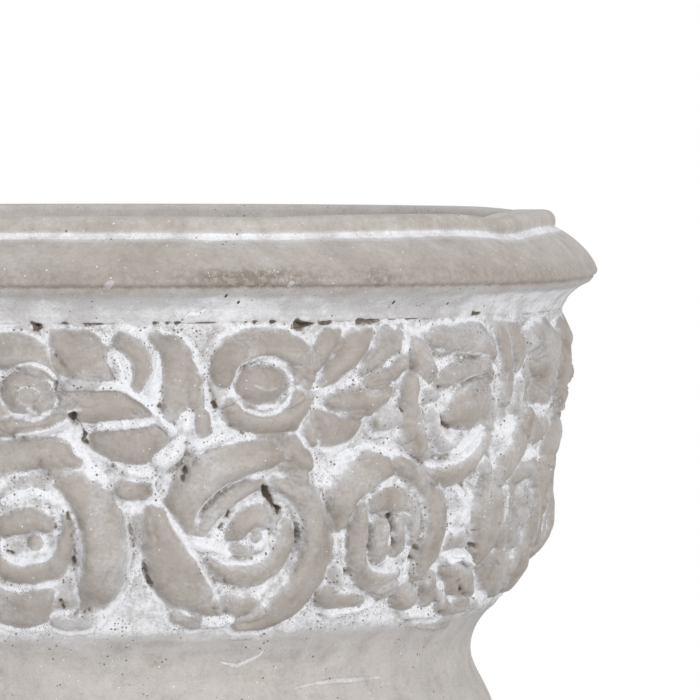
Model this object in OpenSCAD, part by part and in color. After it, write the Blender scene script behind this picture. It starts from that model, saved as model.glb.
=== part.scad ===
// Round cachepot of cast cement, with a moulded rim and a frieze of roses and leaves.
// Drops are measured down from the crest of the rim, and turns go round to the right from the front.

/* [Rim] */
// Diameter over the nose, the widest point of the rim
nose_d = 250; // [246:1:262]
// How far the nose stands out past the upright band under the crest
flare_out = 10.5; // [8.5:0.5:12.5]
// Width of the lip, from the mouth to the upright band
lip_w = 11.5; // [9:0.5:15]
// Drop from the crest to the groove under the upright band
groove_drop = 4.8; // [4:0.2:6.6]
// Drop from the crest to the nose
nose_drop = 14.6; // [13:0.2:17]
// Height of the hollow cove, from the nose down to the frieze
cove_h = 11.4; // [10:0.2:14]
// Depth of the cove behind the nose
cove_depth = 9.2; // [7:0.2:11]

/* [Body] */
// Height of the whole pot above the table
pot_h = 214; // [200:1:240]
// How far the band behind the frieze draws in from its top to its bottom edge
band_taper = 16.3; // [12:0.5:20]
// How far the waist under the frieze draws in from the band's bottom edge
waist_in = 6.2; // [4:0.2:9]
// Height from the frieze's bottom edge down to the waist
neck_h = 12; // [9:0.5:16]
// How far the shoulder, the widest point under the waist, swells out past the waist
shoulder_out = 7.2; // [4:0.2:13]
// Height from the waist down to the shoulder
shoulder_fall = 22; // [17:1:30]
// Wall thickness at the waist, where the pot is thinnest
waist_wall = 9.5; // [7:0.5:14]
// Thickness of the floor
floor_t = 18; // [12:1:26]
// Rounding where the inner wall meets the floor
floor_round = 9; // [5:1:14]

/* [Foot] */
// How far the foot lies in from the shoulder
foot_in = 14.5; // [10:0.5:20]
// Height of the foot's upright edge with its step
foot_h = 8; // [6:0.5:12]
// How far the foot stands out from the body above it
foot_step = 2.5; // [1.5:0.5:4]
// Width of the ring that the pot stands on
foot_ring_w = 20; // [16:1:28]
// Depth of the recess inside the foot ring
foot_recess = 3; // [2:0.5:4]
// Diameter of a felt pad
pad_d = 13; // [10:1:15]
// Thickness of a felt pad
pad_t = 2; // [1:0.5:4]

/* [Frieze] */
// Height of the upper row of roses and leaves
upper_row_h = 24.5; // [22:0.5:28]
// Width of the left rose in the upper row
upper_left_w = 25.2; // [20:0.2:28]
// Width of the middle rose in the upper row
upper_middle_w = 26.6; // [20:0.2:29]
// Width of the large right rose in the upper row
upper_right_w = 32.5; // [26:0.5:34]
// How far the large right rose hangs below its row
upper_right_hang = 5.5; // [1:0.5:6]
// How far the broad leaf hangs into the notch between the two large roses
broad_leaf_hang = 3.5; // [0:0.5:4]
// Width of the side rose in the upper row
upper_side_w = 25; // [20:0.2:28]
// Width of the fan leaf
fan_leaf_w = 24; // [20:0.2:27]
// Width of the upright leaf
upright_leaf_w = 9.2; // [7:0.2:11]
// How far the upright leaf hangs below its row
upright_leaf_hang = 8; // [2:0.5:9]
// Height of the two large roses, and so of the lower row
large_rose_h = 43; // [39:0.5:45]
// Diameter of the right rose in the lower row
lower_right_d = 34.4; // [29:0.2:36]
// Width of the bare ground between the right rose and the long leaf
bare_ground_w = 8.3; // [6.1:0.2:10.1]
// Width of the side rose in the lower row
lower_side_w = 23.5; // [19:0.5:26]
// Height of the side rose in the lower row
lower_side_h = 29; // [24:0.5:30]
// Width of the long leaf
long_leaf_w = 15.5; // [12:0.5:18]
// Height of the long leaf
long_leaf_h = 19.5; // [15:0.5:20.5]
// Width of the folded leaf
folded_leaf_w = 12; // [9:0.5:13]
// Width of the curled leaf
curled_leaf_w = 13; // [10:0.5:15]
// Height of the folded and the curled leaf
low_leaf_h = 8.4; // [6:0.2:9]
// Height of the large roses off the band
rose_relief = 4.4; // [3:0.1:5.5]
// Height of the leaves off the band
leaf_relief = 3.4; // [2.4:0.1:4.4]
// Room between neighbouring reliefs
relief_gap = 0.6; // [0.4:0.1:1.2]
// Clearance between a relief's back and the band it is bedded on
seat_gap = 0.3; // [0.25:0.05:0.4]

/* [Hidden] */
// Times that the frieze's pattern repeats round the pot
repeats = 4;
// Felt pads under the foot
pads = 4;
// Bare margins of the band above the upper row and under the lower row
head_margin = 1.2;
foot_margin = 3;
// Steps along each curve of the profile
curve_steps = 8;
// Steps along the band's profile, which the reliefs follow
band_steps = 16;
// Rounding of the lip's edges and of the foot's lower edge
lip_round = 2.6;
foot_round = 1.5;
// Spokes of a large rose and of a smaller one
large_spokes = 24;
small_spokes = 15;
// Outline points of a broad leaf and of a narrow one
broad_points = 24;
narrow_points = 12;
// How far a petal's edge dips in beside the next, how far it swirls out, and how far its top dips there
petal_notch_share = 0.08;
petal_swirl_share = 0.1;
petal_dip_share = 0.2;
// How much a leaf's outline fills out towards its corners: 1 is an ellipse, and 0 a rectangle
leaf_fill_power = 0.75;
// Angles of the midribs, from level to the right
broad_rib_angle = -31;
fan_rib_angle = 40;
upright_rib_angle = 90;
long_rib_angle = 95;
folded_rib_angle = 20;
curled_rib_angle = 10;
// Turns at which the two rows start
upper_start_angle = -17.4;
lower_start_angle = -18.9;
cement = [0.66, 0.62, 0.58];
felt = [0.24, 0.23, 0.22];

nose_r = nose_d / 2;
lip_r = nose_r - flare_out;
mouth_r = lip_r - lip_w;
band_top_r = nose_r - cove_depth;
band_end_r = band_top_r - band_taper;
waist_r = band_end_r - waist_in;
shoulder_r = waist_r + shoulder_out;
foot_r = shoulder_r - foot_in;
base_drop = pot_h - pad_t;
frieze_drop = nose_drop + cove_h;
upper_mid_drop = frieze_drop + head_margin + upper_row_h / 2;
lower_top_drop = frieze_drop + head_margin + upper_row_h + relief_gap;
lower_mid_drop = lower_top_drop + large_rose_h / 2;
frieze_end_drop = lower_top_drop + large_rose_h + foot_margin;
waist_drop = frieze_end_drop + neck_h;
shoulder_drop = waist_drop + shoulder_fall;
foot_top_drop = base_drop - foot_h;
floor_drop = base_drop - floor_t;
flare_h = nose_drop - groove_drop;
band_h = frieze_end_drop - frieze_drop;
body_h = foot_top_drop - shoulder_drop;
// The inner wall is a plain cone through the mouth and the inside of the waist
cone_lean = (mouth_r - waist_r + waist_wall) / waist_drop;
floor_r = mouth_r - cone_lean * floor_drop;

// A smooth curve of radius and drop from a to d, leaving towards b and arriving from c
function curve(a, b, c, d, steps = curve_steps) =
    [
        for (i = [0:steps])
        let (t = i / steps, s = 1 - t)
        a * s * s * s + b * 3 * t * s * s + c * 3 * t * t * s + d * t * t * t
    ];

// A quarter round about a centre, from one compass angle to another
function arc(centre, radius, from, to, steps = curve_steps) =
    [
        for (i = [0:steps])
        let (a = from + (to - from) * i / steps)
        centre + radius * [cos(a), sin(a)]
    ];

// The band behind the frieze swells gently and tucks under at its bottom edge
band = curve(
    [band_top_r, frieze_drop],
    [band_top_r - band_taper * 0.08, frieze_drop + band_h * 0.33],
    [band_end_r + band_taper * 0.61, frieze_drop + band_h * 0.8],
    [band_end_r, frieze_end_drop],
    band_steps
);
band_table = [for (p = band) [p[1], p[0]]];

// The outer profile from the groove to the foot, as radius and drop
function outer_profile() =
    concat(
        curve(
            [lip_r + flare_out * 0.03, groove_drop],
            [lip_r + flare_out * 0.32, groove_drop + flare_h * 0.15],
            [nose_r - flare_out * 0.11, nose_drop - flare_h * 0.43],
            [nose_r, nose_drop]
        ),
        curve(
            [nose_r, nose_drop],
            [nose_r, nose_drop + cove_h * 0.32],
            [nose_r - cove_depth * 0.62, nose_drop + cove_h * 0.32],
            [nose_r - cove_depth * 0.8, nose_drop + cove_h * 0.6]
        ),
        curve(
            [nose_r - cove_depth * 0.8, nose_drop + cove_h * 0.6],
            [nose_r - cove_depth * 0.9, nose_drop + cove_h * 0.78],
            [band_top_r, frieze_drop - cove_h * 0.12],
            [band_top_r, frieze_drop]
        ),
        band,
        curve(
            [band_end_r, frieze_end_drop],
            [band_end_r - waist_in * 0.74, frieze_end_drop + neck_h * 0.35],
            [waist_r, waist_drop - neck_h * 0.35],
            [waist_r, waist_drop]
        ),
        curve(
            [waist_r, waist_drop],
            [waist_r, waist_drop + shoulder_fall * 0.27],
            [shoulder_r, shoulder_drop - shoulder_fall * 0.5],
            [shoulder_r, shoulder_drop]
        ),
        curve(
            [shoulder_r, shoulder_drop],
            [shoulder_r, shoulder_drop + body_h * 0.4],
            [foot_r + foot_in * 0.2, foot_top_drop - body_h * 0.25],
            [foot_r - foot_step, foot_top_drop]
        ),
        [[foot_r, foot_top_drop + foot_step], [foot_r, base_drop - foot_round]],
        arc([foot_r - foot_round, base_drop - foot_round], foot_round, 0, 90)
    );

// The lip is rounded over from the mouth to the upright band
function lip_profile() =
    concat(
        arc([mouth_r + lip_round, lip_round], lip_round, 180, 270),
        arc([lip_r - lip_round, lip_round], lip_round, 270, 360)
    );

function floor_profile() =
    curve(
        [floor_r + cone_lean * floor_round, floor_drop - floor_round],
        [floor_r + cone_lean * floor_round / 3, floor_drop - floor_round / 3],
        [floor_r - floor_round / 3, floor_drop],
        [floor_r - floor_round, floor_drop]
    );

// Turns a profile of drops into heights above the table, leaving out points that repeat
function heights(profile) =
    [
        for (i = [0:len(profile) - 1])
        if (i == 0 || norm(profile[i] - profile[i - 1]) > 0.01)
        [profile[i][0], pot_h - profile[i][1]]
    ];

module pot() {
    color(cement)
    rotate_extrude($fn = 180)
    polygon(heights(concat(
        [[0, floor_drop]],
        [for (i = [curve_steps:-1:0]) floor_profile()[i]],
        lip_profile(),
        outer_profile(),
        [
            [foot_r - foot_ring_w, base_drop],
            [foot_r - foot_ring_w, base_drop - foot_recess],
            [0, base_drop - foot_recess]
        ]
    )));
}

module felt_pads() {
    color(felt)
    for (pad = [0:pads - 1])
        rotate([0, 0, (pad + 0.5) * 360 / pads])
        translate([foot_r - foot_ring_w / 2, 0, 0])
        cylinder(d = pad_d, h = pad_t, $fn = 48);
}

// Radius of the band at a drop
function seat_r(drop) = lookup(drop, band_table);

// How fast the band's radius grows with the drop, measured over a short stretch of it
function seat_slope(drop) =
    let (stretch = band_h / 72)
    (seat_r(drop + stretch / 2) - seat_r(drop - stretch / 2)) / stretch;

// The place on the band at a turn and a drop, lifted square off its surface
function on_band(turn, drop, lift) =
    let (
        slope = seat_slope(drop),
        out = [1, slope] / norm([1, slope]),
        r = seat_r(drop) + lift * out[0]
    )
    [r * sin(turn), -r * cos(turn), pot_h - drop + lift * out[1]];

// A flat point of a relief, in millimetres from its middle, laid on the band at its place
function laid(place, p) =
    let (drop = place[1] - p[1])
    on_band(place[0] + p[0] / seat_r(drop) * 180 / PI, drop, p[2]);

// A closed solid from rings of flat points: from the middle of its face, over the edge, to its back
module bedded(place, face, rings, back) {
    count = len(rings[0]);
    last = count * len(rings) + 1;
    points = concat(
        [laid(place, face)],
        [for (ring = rings) for (p = ring) laid(place, p)],
        [laid(place, back)]
    );
    sides = [
        for (j = [0:len(rings) - 2])
        for (i = [0:count - 1])
        let (a = 1 + j * count + i, b = 1 + j * count + (i + 1) % count)
        each [[a, a + count, b + count], [a, b + count, b]]
    ];
    polyhedron(
        points = points,
        faces = concat(
            [for (i = [0:count - 1]) [0, 1 + i, 1 + (i + 1) % count]],
            sides,
            [for (i = [0:count - 1]) [last, last - count + (i + 1) % count, last - count + i]]
        )
    );
}

// One ring of a rose. Its petals each reach out a little further towards one end, and dip between.
function petal_ring(size, reach, lift, spokes, petals, shift) =
    let (step = spokes / petals)
    [
        for (i = [0:spokes - 1])
        let (
            a = 360 * i / spokes,
            share = (((i + shift) % step) + 0.5) / step,
            swell = pow(sin(180 * share), 0.4),
            r = reach * (1 - petal_notch_share * (1 - swell) + petal_swirl_share * (share - 1))
        )
        [
            size[0] / 2 * r * cos(a),
            size[1] / 2 * r * sin(a),
            seat_gap + lift * (1 - petal_dip_share * (1 - swell))
        ]
    ];

// A plain ring of the same size, which lies on the band
function bed_ring(size, reach, spokes, petals, shift) =
    [for (p = petal_ring(size, reach, 0, spokes, petals, shift)) [p[0], p[1], seat_gap]];

// A rose: an outer row of petals, an inner row turned against it, and a folded heart
module rose(place, size, relief, spokes, petals) {
    turn = floor(spokes / petals / 2);
    color(cement)
    bedded(
        place,
        [0, 0, seat_gap + relief * 0.72],
        [
            petal_ring(size, 0.25, relief * 0.98, spokes, 1, 1),
            petal_ring(size, 0.33, relief * 0.5, spokes, petals, turn),
            petal_ring(size, 0.43, relief, spokes, petals, turn),
            petal_ring(size, 0.58, relief * 0.94, spokes, petals, turn),
            petal_ring(size, 0.64, relief * 0.4, spokes, petals, turn),
            petal_ring(size, 0.8, relief, spokes, petals, 0),
            petal_ring(size, 0.95, relief * 0.8, spokes, petals, 0),
            bed_ring(size, 1, spokes, petals, 0),
            bed_ring(size, 0.72, spokes, petals, 0),
            bed_ring(size, 0.4, spokes, petals, 0)
        ],
        [0, 0, seat_gap]
    );
}

// Fills a round outline out towards its corners
function filled(x) = sign(x) * pow(abs(x), leaf_fill_power);

// One ring of a leaf, drawn in from its lobed edge towards its midrib
function leaf_ring(size, reach, lift, points, lobes, rib) =
    let (step = points / lobes)
    [
        for (i = [0:points - 1])
        let (
            a = 360 * i / points + rib,
            share = ((i % step) + 0.5) / step,
            lobe = 0.86 + 0.14 * pow(sin(180 * share), 0.5),
            edge = [size[0] / 2 * filled(cos(a)), size[1] / 2 * filled(sin(a))] * lobe,
            along = [cos(rib), sin(rib)],
            foot = along * (edge * along) * 0.8,
            p = foot + (edge - foot) * reach
        )
        [p[0], p[1], seat_gap + lift * (0.7 + 0.3 * lobe)]
    ];

// A leaf, domed between its edge and a grooved midrib that runs at the rib angle
module leaf(place, size, relief, points, lobes, rib) {
    color(cement)
    bedded(
        place,
        [0, 0, seat_gap + relief * 0.5],
        [
            leaf_ring(size, 0.1, relief * 0.5, points, lobes, rib),
            leaf_ring(size, 0.5, relief, points, lobes, rib),
            leaf_ring(size, 0.93, relief * 0.8, points, lobes, rib),
            leaf_ring(size, 1, 0, points, lobes, rib),
            leaf_ring(size, 0.5, 0, points, lobes, rib)
        ],
        [0, 0, seat_gap]
    );
}

// Turn taken up by a width on the middle of a row
function upper_turn(width) = width / seat_r(upper_mid_drop) * 180 / PI;
function lower_turn(width) = width / seat_r(lower_mid_drop) * 180 / PI;

// In the upper row the broad leaf fills what the others leave
broad_leaf_w =
    2 * PI * seat_r(upper_mid_drop) / repeats
    - upper_left_w - upper_middle_w - upper_right_w - upper_side_w
    - fan_leaf_w - upright_leaf_w - 7 * relief_gap;
upper_widths = [
    upper_left_w, broad_leaf_w, upper_middle_w, fan_leaf_w, upper_right_w, upright_leaf_w, upper_side_w
];

// In the lower row the two large roses share what the others leave
large_rose_w = (
    2 * PI * seat_r(lower_mid_drop) / repeats
    - lower_right_d - bare_ground_w - long_leaf_w - lower_side_w - 6 * relief_gap
) / 2;
lower_widths = [large_rose_w, large_rose_w, lower_right_d, bare_ground_w, long_leaf_w, lower_side_w];

// Turn to the middle of one cell of a row, given the widths and the gap after each
function cell_mid(widths, i, gap) =
    i == 0 ? widths[0] / 2 : cell_mid(widths, i - 1, gap) + widths[i - 1] / 2 + gap + widths[i] / 2;
function upper_place(i) = upper_start_angle + upper_turn(cell_mid(upper_widths, i, relief_gap));
function lower_place(i) = lower_start_angle + lower_turn(cell_mid(lower_widths, i, relief_gap));

low_leaf_drop = frieze_end_drop - foot_margin - low_leaf_h / 2;

module upper_rose_left() {
    rose([upper_place(0), upper_mid_drop], [upper_left_w, upper_row_h], rose_relief * 0.8, small_spokes, 3);
}

module broad_leaf() {
    leaf(
        [upper_place(1), upper_mid_drop + broad_leaf_hang / 2],
        [broad_leaf_w, upper_row_h + broad_leaf_hang],
        leaf_relief,
        broad_points,
        6,
        broad_rib_angle
    );
}

module upper_rose_middle() {
    rose([upper_place(2), upper_mid_drop], [upper_middle_w, upper_row_h], rose_relief * 0.8, small_spokes, 3);
}

module fan_leaf() {
    leaf([upper_place(3), upper_mid_drop], [fan_leaf_w, upper_row_h], leaf_relief, broad_points, 6, fan_rib_angle);
}

module upper_rose_right() {
    rose(
        [upper_place(4), upper_mid_drop + upper_right_hang / 2],
        [upper_right_w, upper_row_h + upper_right_hang],
        rose_relief * 0.9,
        small_spokes,
        3
    );
}

module upright_leaf() {
    leaf(
        [upper_place(5), upper_mid_drop + upright_leaf_hang / 2],
        [upright_leaf_w, upper_row_h + upright_leaf_hang],
        leaf_relief,
        narrow_points,
        4,
        upright_rib_angle
    );
}

module upper_rose_side() {
    rose([upper_place(6), upper_mid_drop], [upper_side_w, upper_row_h], rose_relief * 0.8, small_spokes, 3);
}

module lower_rose_left() {
    rose([lower_place(0), lower_mid_drop], [large_rose_w, large_rose_h], rose_relief, large_spokes, 4);
}

module lower_rose_middle() {
    rose([lower_place(1), lower_mid_drop], [large_rose_w, large_rose_h], rose_relief, large_spokes, 3);
}

module lower_rose_right() {
    rose([lower_place(2), lower_mid_drop], [lower_right_d, lower_right_d], rose_relief, small_spokes, 3);
}

module long_leaf() {
    leaf(
        [lower_place(4), lower_mid_drop],
        [long_leaf_w, long_leaf_h],
        leaf_relief,
        narrow_points,
        4,
        long_rib_angle
    );
}

module lower_rose_side() {
    rose([lower_place(5), lower_mid_drop], [lower_side_w, lower_side_h], rose_relief, small_spokes, 3);
}

module folded_leaf() {
    leaf(
        [lower_place(3) + lower_turn(bare_ground_w / 2), low_leaf_drop],
        [folded_leaf_w, low_leaf_h],
        leaf_relief,
        narrow_points,
        4,
        folded_rib_angle
    );
}

module curled_leaf() {
    leaf(
        [lower_place(4) + lower_turn(long_leaf_w / 2), low_leaf_drop],
        [curled_leaf_w, low_leaf_h],
        leaf_relief,
        narrow_points,
        4,
        curled_rib_angle
    );
}

// The same relief at each repeat round the pot, each copy under its own name
module round_the_pot(kind) {
    for (copy = [1:repeats])
        rotate([0, 0, (copy - 1) * 360 / repeats])
            children();
}

pot();
felt_pads();
round_the_pot("upper_rose_left") upper_rose_left();
round_the_pot("broad_leaf") broad_leaf();
round_the_pot("upper_rose_middle") upper_rose_middle();
round_the_pot("fan_leaf") fan_leaf();
round_the_pot("upper_rose_right") upper_rose_right();
round_the_pot("upright_leaf") upright_leaf();
round_the_pot("upper_rose_side") upper_rose_side();
round_the_pot("lower_rose_left") lower_rose_left();
round_the_pot("lower_rose_middle") lower_rose_middle();
round_the_pot("lower_rose_right") lower_rose_right();
round_the_pot("long_leaf") long_leaf();
round_the_pot("lower_rose_side") lower_rose_side();
round_the_pot("folded_leaf") folded_leaf();
round_the_pot("curled_leaf") curled_leaf();
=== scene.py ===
# %% [markdown]
# # A cement cachepot with a frieze of roses and leaves
# The real pot is cast in a mould from grey-beige cement. While it is new, thin white limewash is
# brushed over it and wiped off again, so that it stays in the hollows. This lesson rebuilds it from
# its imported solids: first the shape of every piece as a numpy surface, then the finishes, then a
# plain studio. Lengths are written in millimetres and turned into metres where a mesh is made.

# %% Load the frame
import bpy
import numpy as np
from mathutils import Euler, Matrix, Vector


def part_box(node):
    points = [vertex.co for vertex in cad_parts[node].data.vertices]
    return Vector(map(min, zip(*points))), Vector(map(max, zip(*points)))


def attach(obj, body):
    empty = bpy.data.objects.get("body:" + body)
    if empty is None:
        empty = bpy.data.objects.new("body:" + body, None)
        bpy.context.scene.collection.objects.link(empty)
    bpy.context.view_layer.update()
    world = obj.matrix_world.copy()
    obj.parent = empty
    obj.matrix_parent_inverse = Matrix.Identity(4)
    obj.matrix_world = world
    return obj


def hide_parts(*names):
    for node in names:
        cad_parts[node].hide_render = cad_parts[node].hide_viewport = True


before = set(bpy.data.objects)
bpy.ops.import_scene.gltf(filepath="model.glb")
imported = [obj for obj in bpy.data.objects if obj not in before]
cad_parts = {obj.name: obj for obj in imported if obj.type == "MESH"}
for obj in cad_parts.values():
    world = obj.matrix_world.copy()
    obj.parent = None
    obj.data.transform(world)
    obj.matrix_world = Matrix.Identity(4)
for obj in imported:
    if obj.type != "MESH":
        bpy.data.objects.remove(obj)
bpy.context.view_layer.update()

# %% [markdown]
# ## Sizes taken from the solids
# The crest and the widest radius come from the pot's own solid, so this scene follows it. A place on
# the pot is given by its turn to the right of the front and its drop below the crest, which is how
# one would measure a real pot with a tape.

# %% Sizes
MM = 0.001
TAU = 2 * np.pi
pot_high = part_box("pot")[1]
CREST = pot_high.z / MM
NOSE_R = pot_high.x / MM
# The frieze repeats this many times round the pot
REPEATS = 4
# The tape laid round the frieze: millimetres along it are turned into angles on this radius
TAPE_R = 113.0
print("crest", round(CREST, 2), "nose radius", round(NOSE_R, 2))

# %% Curves and smooth steps
def curve(a, b, c, d, steps):
    """Cubic Bezier: weights (1-t)^3, 3t(1-t)^2, 3t^2(1-t), t^3 on four (radius, drop) points."""
    t = np.linspace(0, 1, steps + 1)[:, None]
    s = 1 - t
    a, b, c, d = (np.array(p, float) for p in (a, b, c, d))
    return a * s**3 + 3 * b * t * s**2 + 3 * c * t**2 * s + d * t**3


def quarter(centre, radius, start, end, steps):
    """Part of a circle: centre plus radius times (cos, sin) of angles from start to end, in degrees."""
    a = np.radians(np.linspace(start, end, steps + 1))
    return np.stack([centre[0] + radius * np.cos(a), centre[1] + radius * np.sin(a)], -1)


def step(low, high, x):
    """Smooth step: 0 below low, 1 above high, and 3x^2 - 2x^3 between."""
    x = np.clip((x - low) / (high - low), 0, 1)
    return x * x * (3 - 2 * x)


def bump(x, middle, width):
    """A bell: e to the power of minus the squared distance from the middle, in widths."""
    return np.exp(-(((x - middle) / width) ** 2))


def lumps(turn, drop, across, seed, repeats=1):
    """Soft random lumps between -1 and 1: random values on a lattice that closes round the pot,
    blended with smooth steps between the lattice's four corners. across is a lump's size in mm,
    and repeats is how often the same lumps come round."""
    round_count = max(4, int(round(TAU * TAPE_R / across / repeats)))
    down_count = int(340 / across) + 3
    table = np.random.default_rng(seed).uniform(-1, 1, (down_count, round_count))
    u = np.mod(turn * repeats / TAU, 1) * round_count
    v = np.clip(drop / across + 1, 0, down_count - 2.001)
    i, j = np.floor(u).astype(int) % round_count, np.floor(v).astype(int)
    fu, fv = u - np.floor(u), v - np.floor(v)
    fu, fv = fu * fu * (3 - 2 * fu), fv * fv * (3 - 2 * fv)
    k = (i + 1) % round_count
    top = table[j, i] * (1 - fu) + table[j, k] * fu
    low = table[j + 1, i] * (1 - fu) + table[j + 1, k] * fu
    return top * (1 - fv) + low * fv


def short(value):
    """A number rounded to two places, for printing."""
    return round(float(value), 2)


print("a lump at the front:", round(float(lumps(np.array(0.1), np.array(5.0), 8, 1)), 3))

# %% [markdown]
# ## From a grid of points to a mesh
# Every piece here is a grid: rows of points that each close into a ring, with one point that closes
# each end. Writing the grid with foreach_set takes whole arrays at once, which is far quicker than
# adding faces one by one, and a ring that closes on itself leaves no seam.

# %% Mesh helper
def ring_mesh(name, rings, first_point, last_point, layers):
    """Quads join each ring to the next, and fans of triangles close both ends on single points.
    rings has the shape (rows, around, 3) in metres; layers holds one value for each point."""
    rows, around = rings.shape[:2]
    points = np.vstack([rings.reshape(-1, 3), first_point, last_point])
    i, last_ring = np.arange(around), (rows - 1) * around
    j = (i + 1) % around
    r = np.arange(rows - 1)[:, None] * around
    quads = np.stack([r + i, r + around + i, r + around + j, r + j], -1).reshape(-1, 4)
    first, last = rows * around, rows * around + 1
    head = np.stack([np.full(around, first), i, j], -1)
    tail = np.stack([last_ring + i, np.full(around, last), last_ring + j], -1)
    loops = np.concatenate([quads.ravel(), head.ravel(), tail.ravel()])
    sizes = np.concatenate([np.full(len(quads), 4), np.full(2 * around, 3)])
    mesh = bpy.data.meshes.new(name)
    mesh.vertices.add(len(points))
    mesh.vertices.foreach_set("co", points.ravel())
    mesh.loops.add(len(loops))
    mesh.loops.foreach_set("vertex_index", loops.astype(np.int32))
    mesh.polygons.add(len(sizes))
    mesh.polygons.foreach_set("loop_start", (np.cumsum(sizes) - sizes).astype(np.int32))
    mesh.update(calc_edges=True)
    mesh.polygons.foreach_set("use_smooth", np.ones(len(sizes), bool))
    for layer, values in layers.items():
        attribute = mesh.attributes.new(layer, "FLOAT", "POINT")
        attribute.data.foreach_set("value", np.asarray(values, np.float32).ravel())
    mesh.validate()
    piece = bpy.data.objects.new(name, mesh)
    bpy.context.collection.objects.link(piece)
    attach(piece, "root")
    return piece


def triangles(piece):
    """How many triangles a piece has: its loops less two for each face."""
    return len(piece.data.loops) - 2 * len(piece.data.polygons)


def show(piece):
    """Print how many triangles a piece has."""
    print(piece.name, triangles(piece), "triangles")


def joined(pieces):
    """Join some pieces into the first, which is returned."""
    with bpy.context.temp_override(active_object=pieces[0], selected_editable_objects=pieces):
        bpy.ops.object.join()
    return pieces[0]


print("mesh helpers are ready")

# %% [markdown]
# ## The pot's profile
# A potter would cut this outline as a template and turn it round the axis. From the mouth outwards it
# has a rounded lip, an upright band, a groove, a flare to the nose, a hollow cove, the band behind
# the frieze, the neck, a shoulder, and the foot. Inside, a plain cone runs down to the floor.

# %% Profile
# Every place on the profile is (radius, drop below the crest), in mm
COVE_END, BAND_TOP, BAND_END = (117.64, 21.4), (115.8, 26.0), (99.5, 98.3)
TAPER = BAND_TOP[0] - BAND_END[0]
BAND_H = BAND_END[1] - BAND_TOP[1]
# Radii, and drops below the crest
CREST_R, LIP_R, MOUTH_R = 109.0, 114.5, 103.0
WAIST_R, SHOULDER_R, FOOT_R, RECESS_R = 93.3, 100.5, 86.0, 66.0
WAIST_DROP, SHOULDER_DROP, FOOT_DROP = 110.3, 132.3, 204.0
BASE_DROP, RECESS_DROP, FLOOR_DROP = 212.0, 209.0, 194.0
# How far the lip, the foot and the inner floor are rounded, and the wall's thickness at the waist
LIP_ROUND, FOOT_ROUND, FLOOR_ROUND = 2.6, 1.5, 9
WAIST_WALL = 9.5
# The inner cone's lean: how much its radius shrinks for each mm of drop
LEAN = (MOUTH_R - WAIST_R + WAIST_WALL) / WAIST_DROP
FLOOR_R = MOUTH_R - LEAN * FLOOR_DROP

band = curve(
    BAND_TOP,
    (BAND_TOP[0] - TAPER * 0.08, BAND_TOP[1] + BAND_H * 0.33),
    (BAND_END[0] + TAPER * 0.61, BAND_TOP[1] + BAND_H * 0.8),
    BAND_END,
    40,
)
inside = np.array([[MOUTH_R - LEAN * d, d] for d in np.linspace(FLOOR_DROP - FLOOR_ROUND, 4, 6)])
pieces_of_profile = [
    np.array([[FLOOR_R * f, FLOOR_DROP] for f in (0.2, 0.5, 0.75)]),
    curve((FLOOR_R - FLOOR_ROUND, FLOOR_DROP), (FLOOR_R - FLOOR_ROUND / 3, FLOOR_DROP),
          (FLOOR_R + LEAN * (FLOOR_ROUND / 3), FLOOR_DROP - FLOOR_ROUND / 3),
          (FLOOR_R + LEAN * FLOOR_ROUND, FLOOR_DROP - FLOOR_ROUND), 5),
    inside[1:],
    quarter((MOUTH_R + LIP_ROUND, LIP_ROUND), LIP_ROUND, 180, 270, 5),
    np.array([[CREST_R + x, 0.0] for x in (-1.8, 0, 1.8)]),
    quarter((LIP_R - LIP_ROUND, LIP_ROUND), LIP_ROUND, 270, 360, 5),
    np.array([[LIP_R - 0.05, 3.3], [LIP_R - 0.1, 3.8], [LIP_R - 0.1, 4.15]]),
    curve((LIP_R + 0.5, 4.5), (LIP_R + 3.2, 5.9), (NOSE_R - 1.2, 10.2), (NOSE_R, 14.6), 13),
    np.array([[NOSE_R - 0.05, 15.1], [NOSE_R - 0.35, 15.5], [NOSE_R - 0.85, 15.75], [NOSE_R - 1.15, 16.0],
              [NOSE_R - 1.0, 16.3], [NOSE_R - 1.25, 16.7]]),
    curve((NOSE_R - 2.0, 17.5), (120.9, 18.4), (119.2, 19.6), COVE_END, 7),
    curve(COVE_END, (116.7, 23.5), (115.8, 24.6), BAND_TOP, 16)[1:],
    band[2::2],
    curve(BAND_END, (94.9, 102.5), (WAIST_R, 106.1), (WAIST_R, WAIST_DROP), 9)[1:],
    curve((WAIST_R, WAIST_DROP), (WAIST_R, 116.2), (SHOULDER_R, 121.3), (SHOULDER_R, SHOULDER_DROP), 8)[1:],
    curve((SHOULDER_R, SHOULDER_DROP), (SHOULDER_R, 161), (88.9, 186), (83.5, FOOT_DROP), 8)[1:],
    np.array([[84.6, 205.2], [FOOT_R, 206.5], [FOOT_R, 208.4]]),
    quarter((FOOT_R - FOOT_ROUND, BASE_DROP - FOOT_ROUND), FOOT_ROUND, 0, 90, 4),
    np.array([[76.0, BASE_DROP], [RECESS_R, BASE_DROP], [RECESS_R, RECESS_DROP], [40.0, RECESS_DROP]]),
]
profile = np.vstack(pieces_of_profile)
print("profile points:", len(profile))


def band_radius(drop):
    """Radius of the band behind the frieze, read off its curve."""
    return np.interp(drop, band[:, 1], band[:, 0])


def on_band(turn, drop, lift):
    """A place on the band at a turn and a drop, lifted square off its surface: the direction out is
    (1, slope) made one long, where slope is how fast the radius grows with the drop."""
    slope = (band_radius(drop + 1) - band_radius(drop - 1)) / 2
    length = np.sqrt(1 + slope**2)
    radius = band_radius(drop) + lift / length
    height = CREST - drop + lift * slope / length
    return np.stack([radius * np.sin(turn), -radius * np.cos(turn), height], -1) * MM


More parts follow.
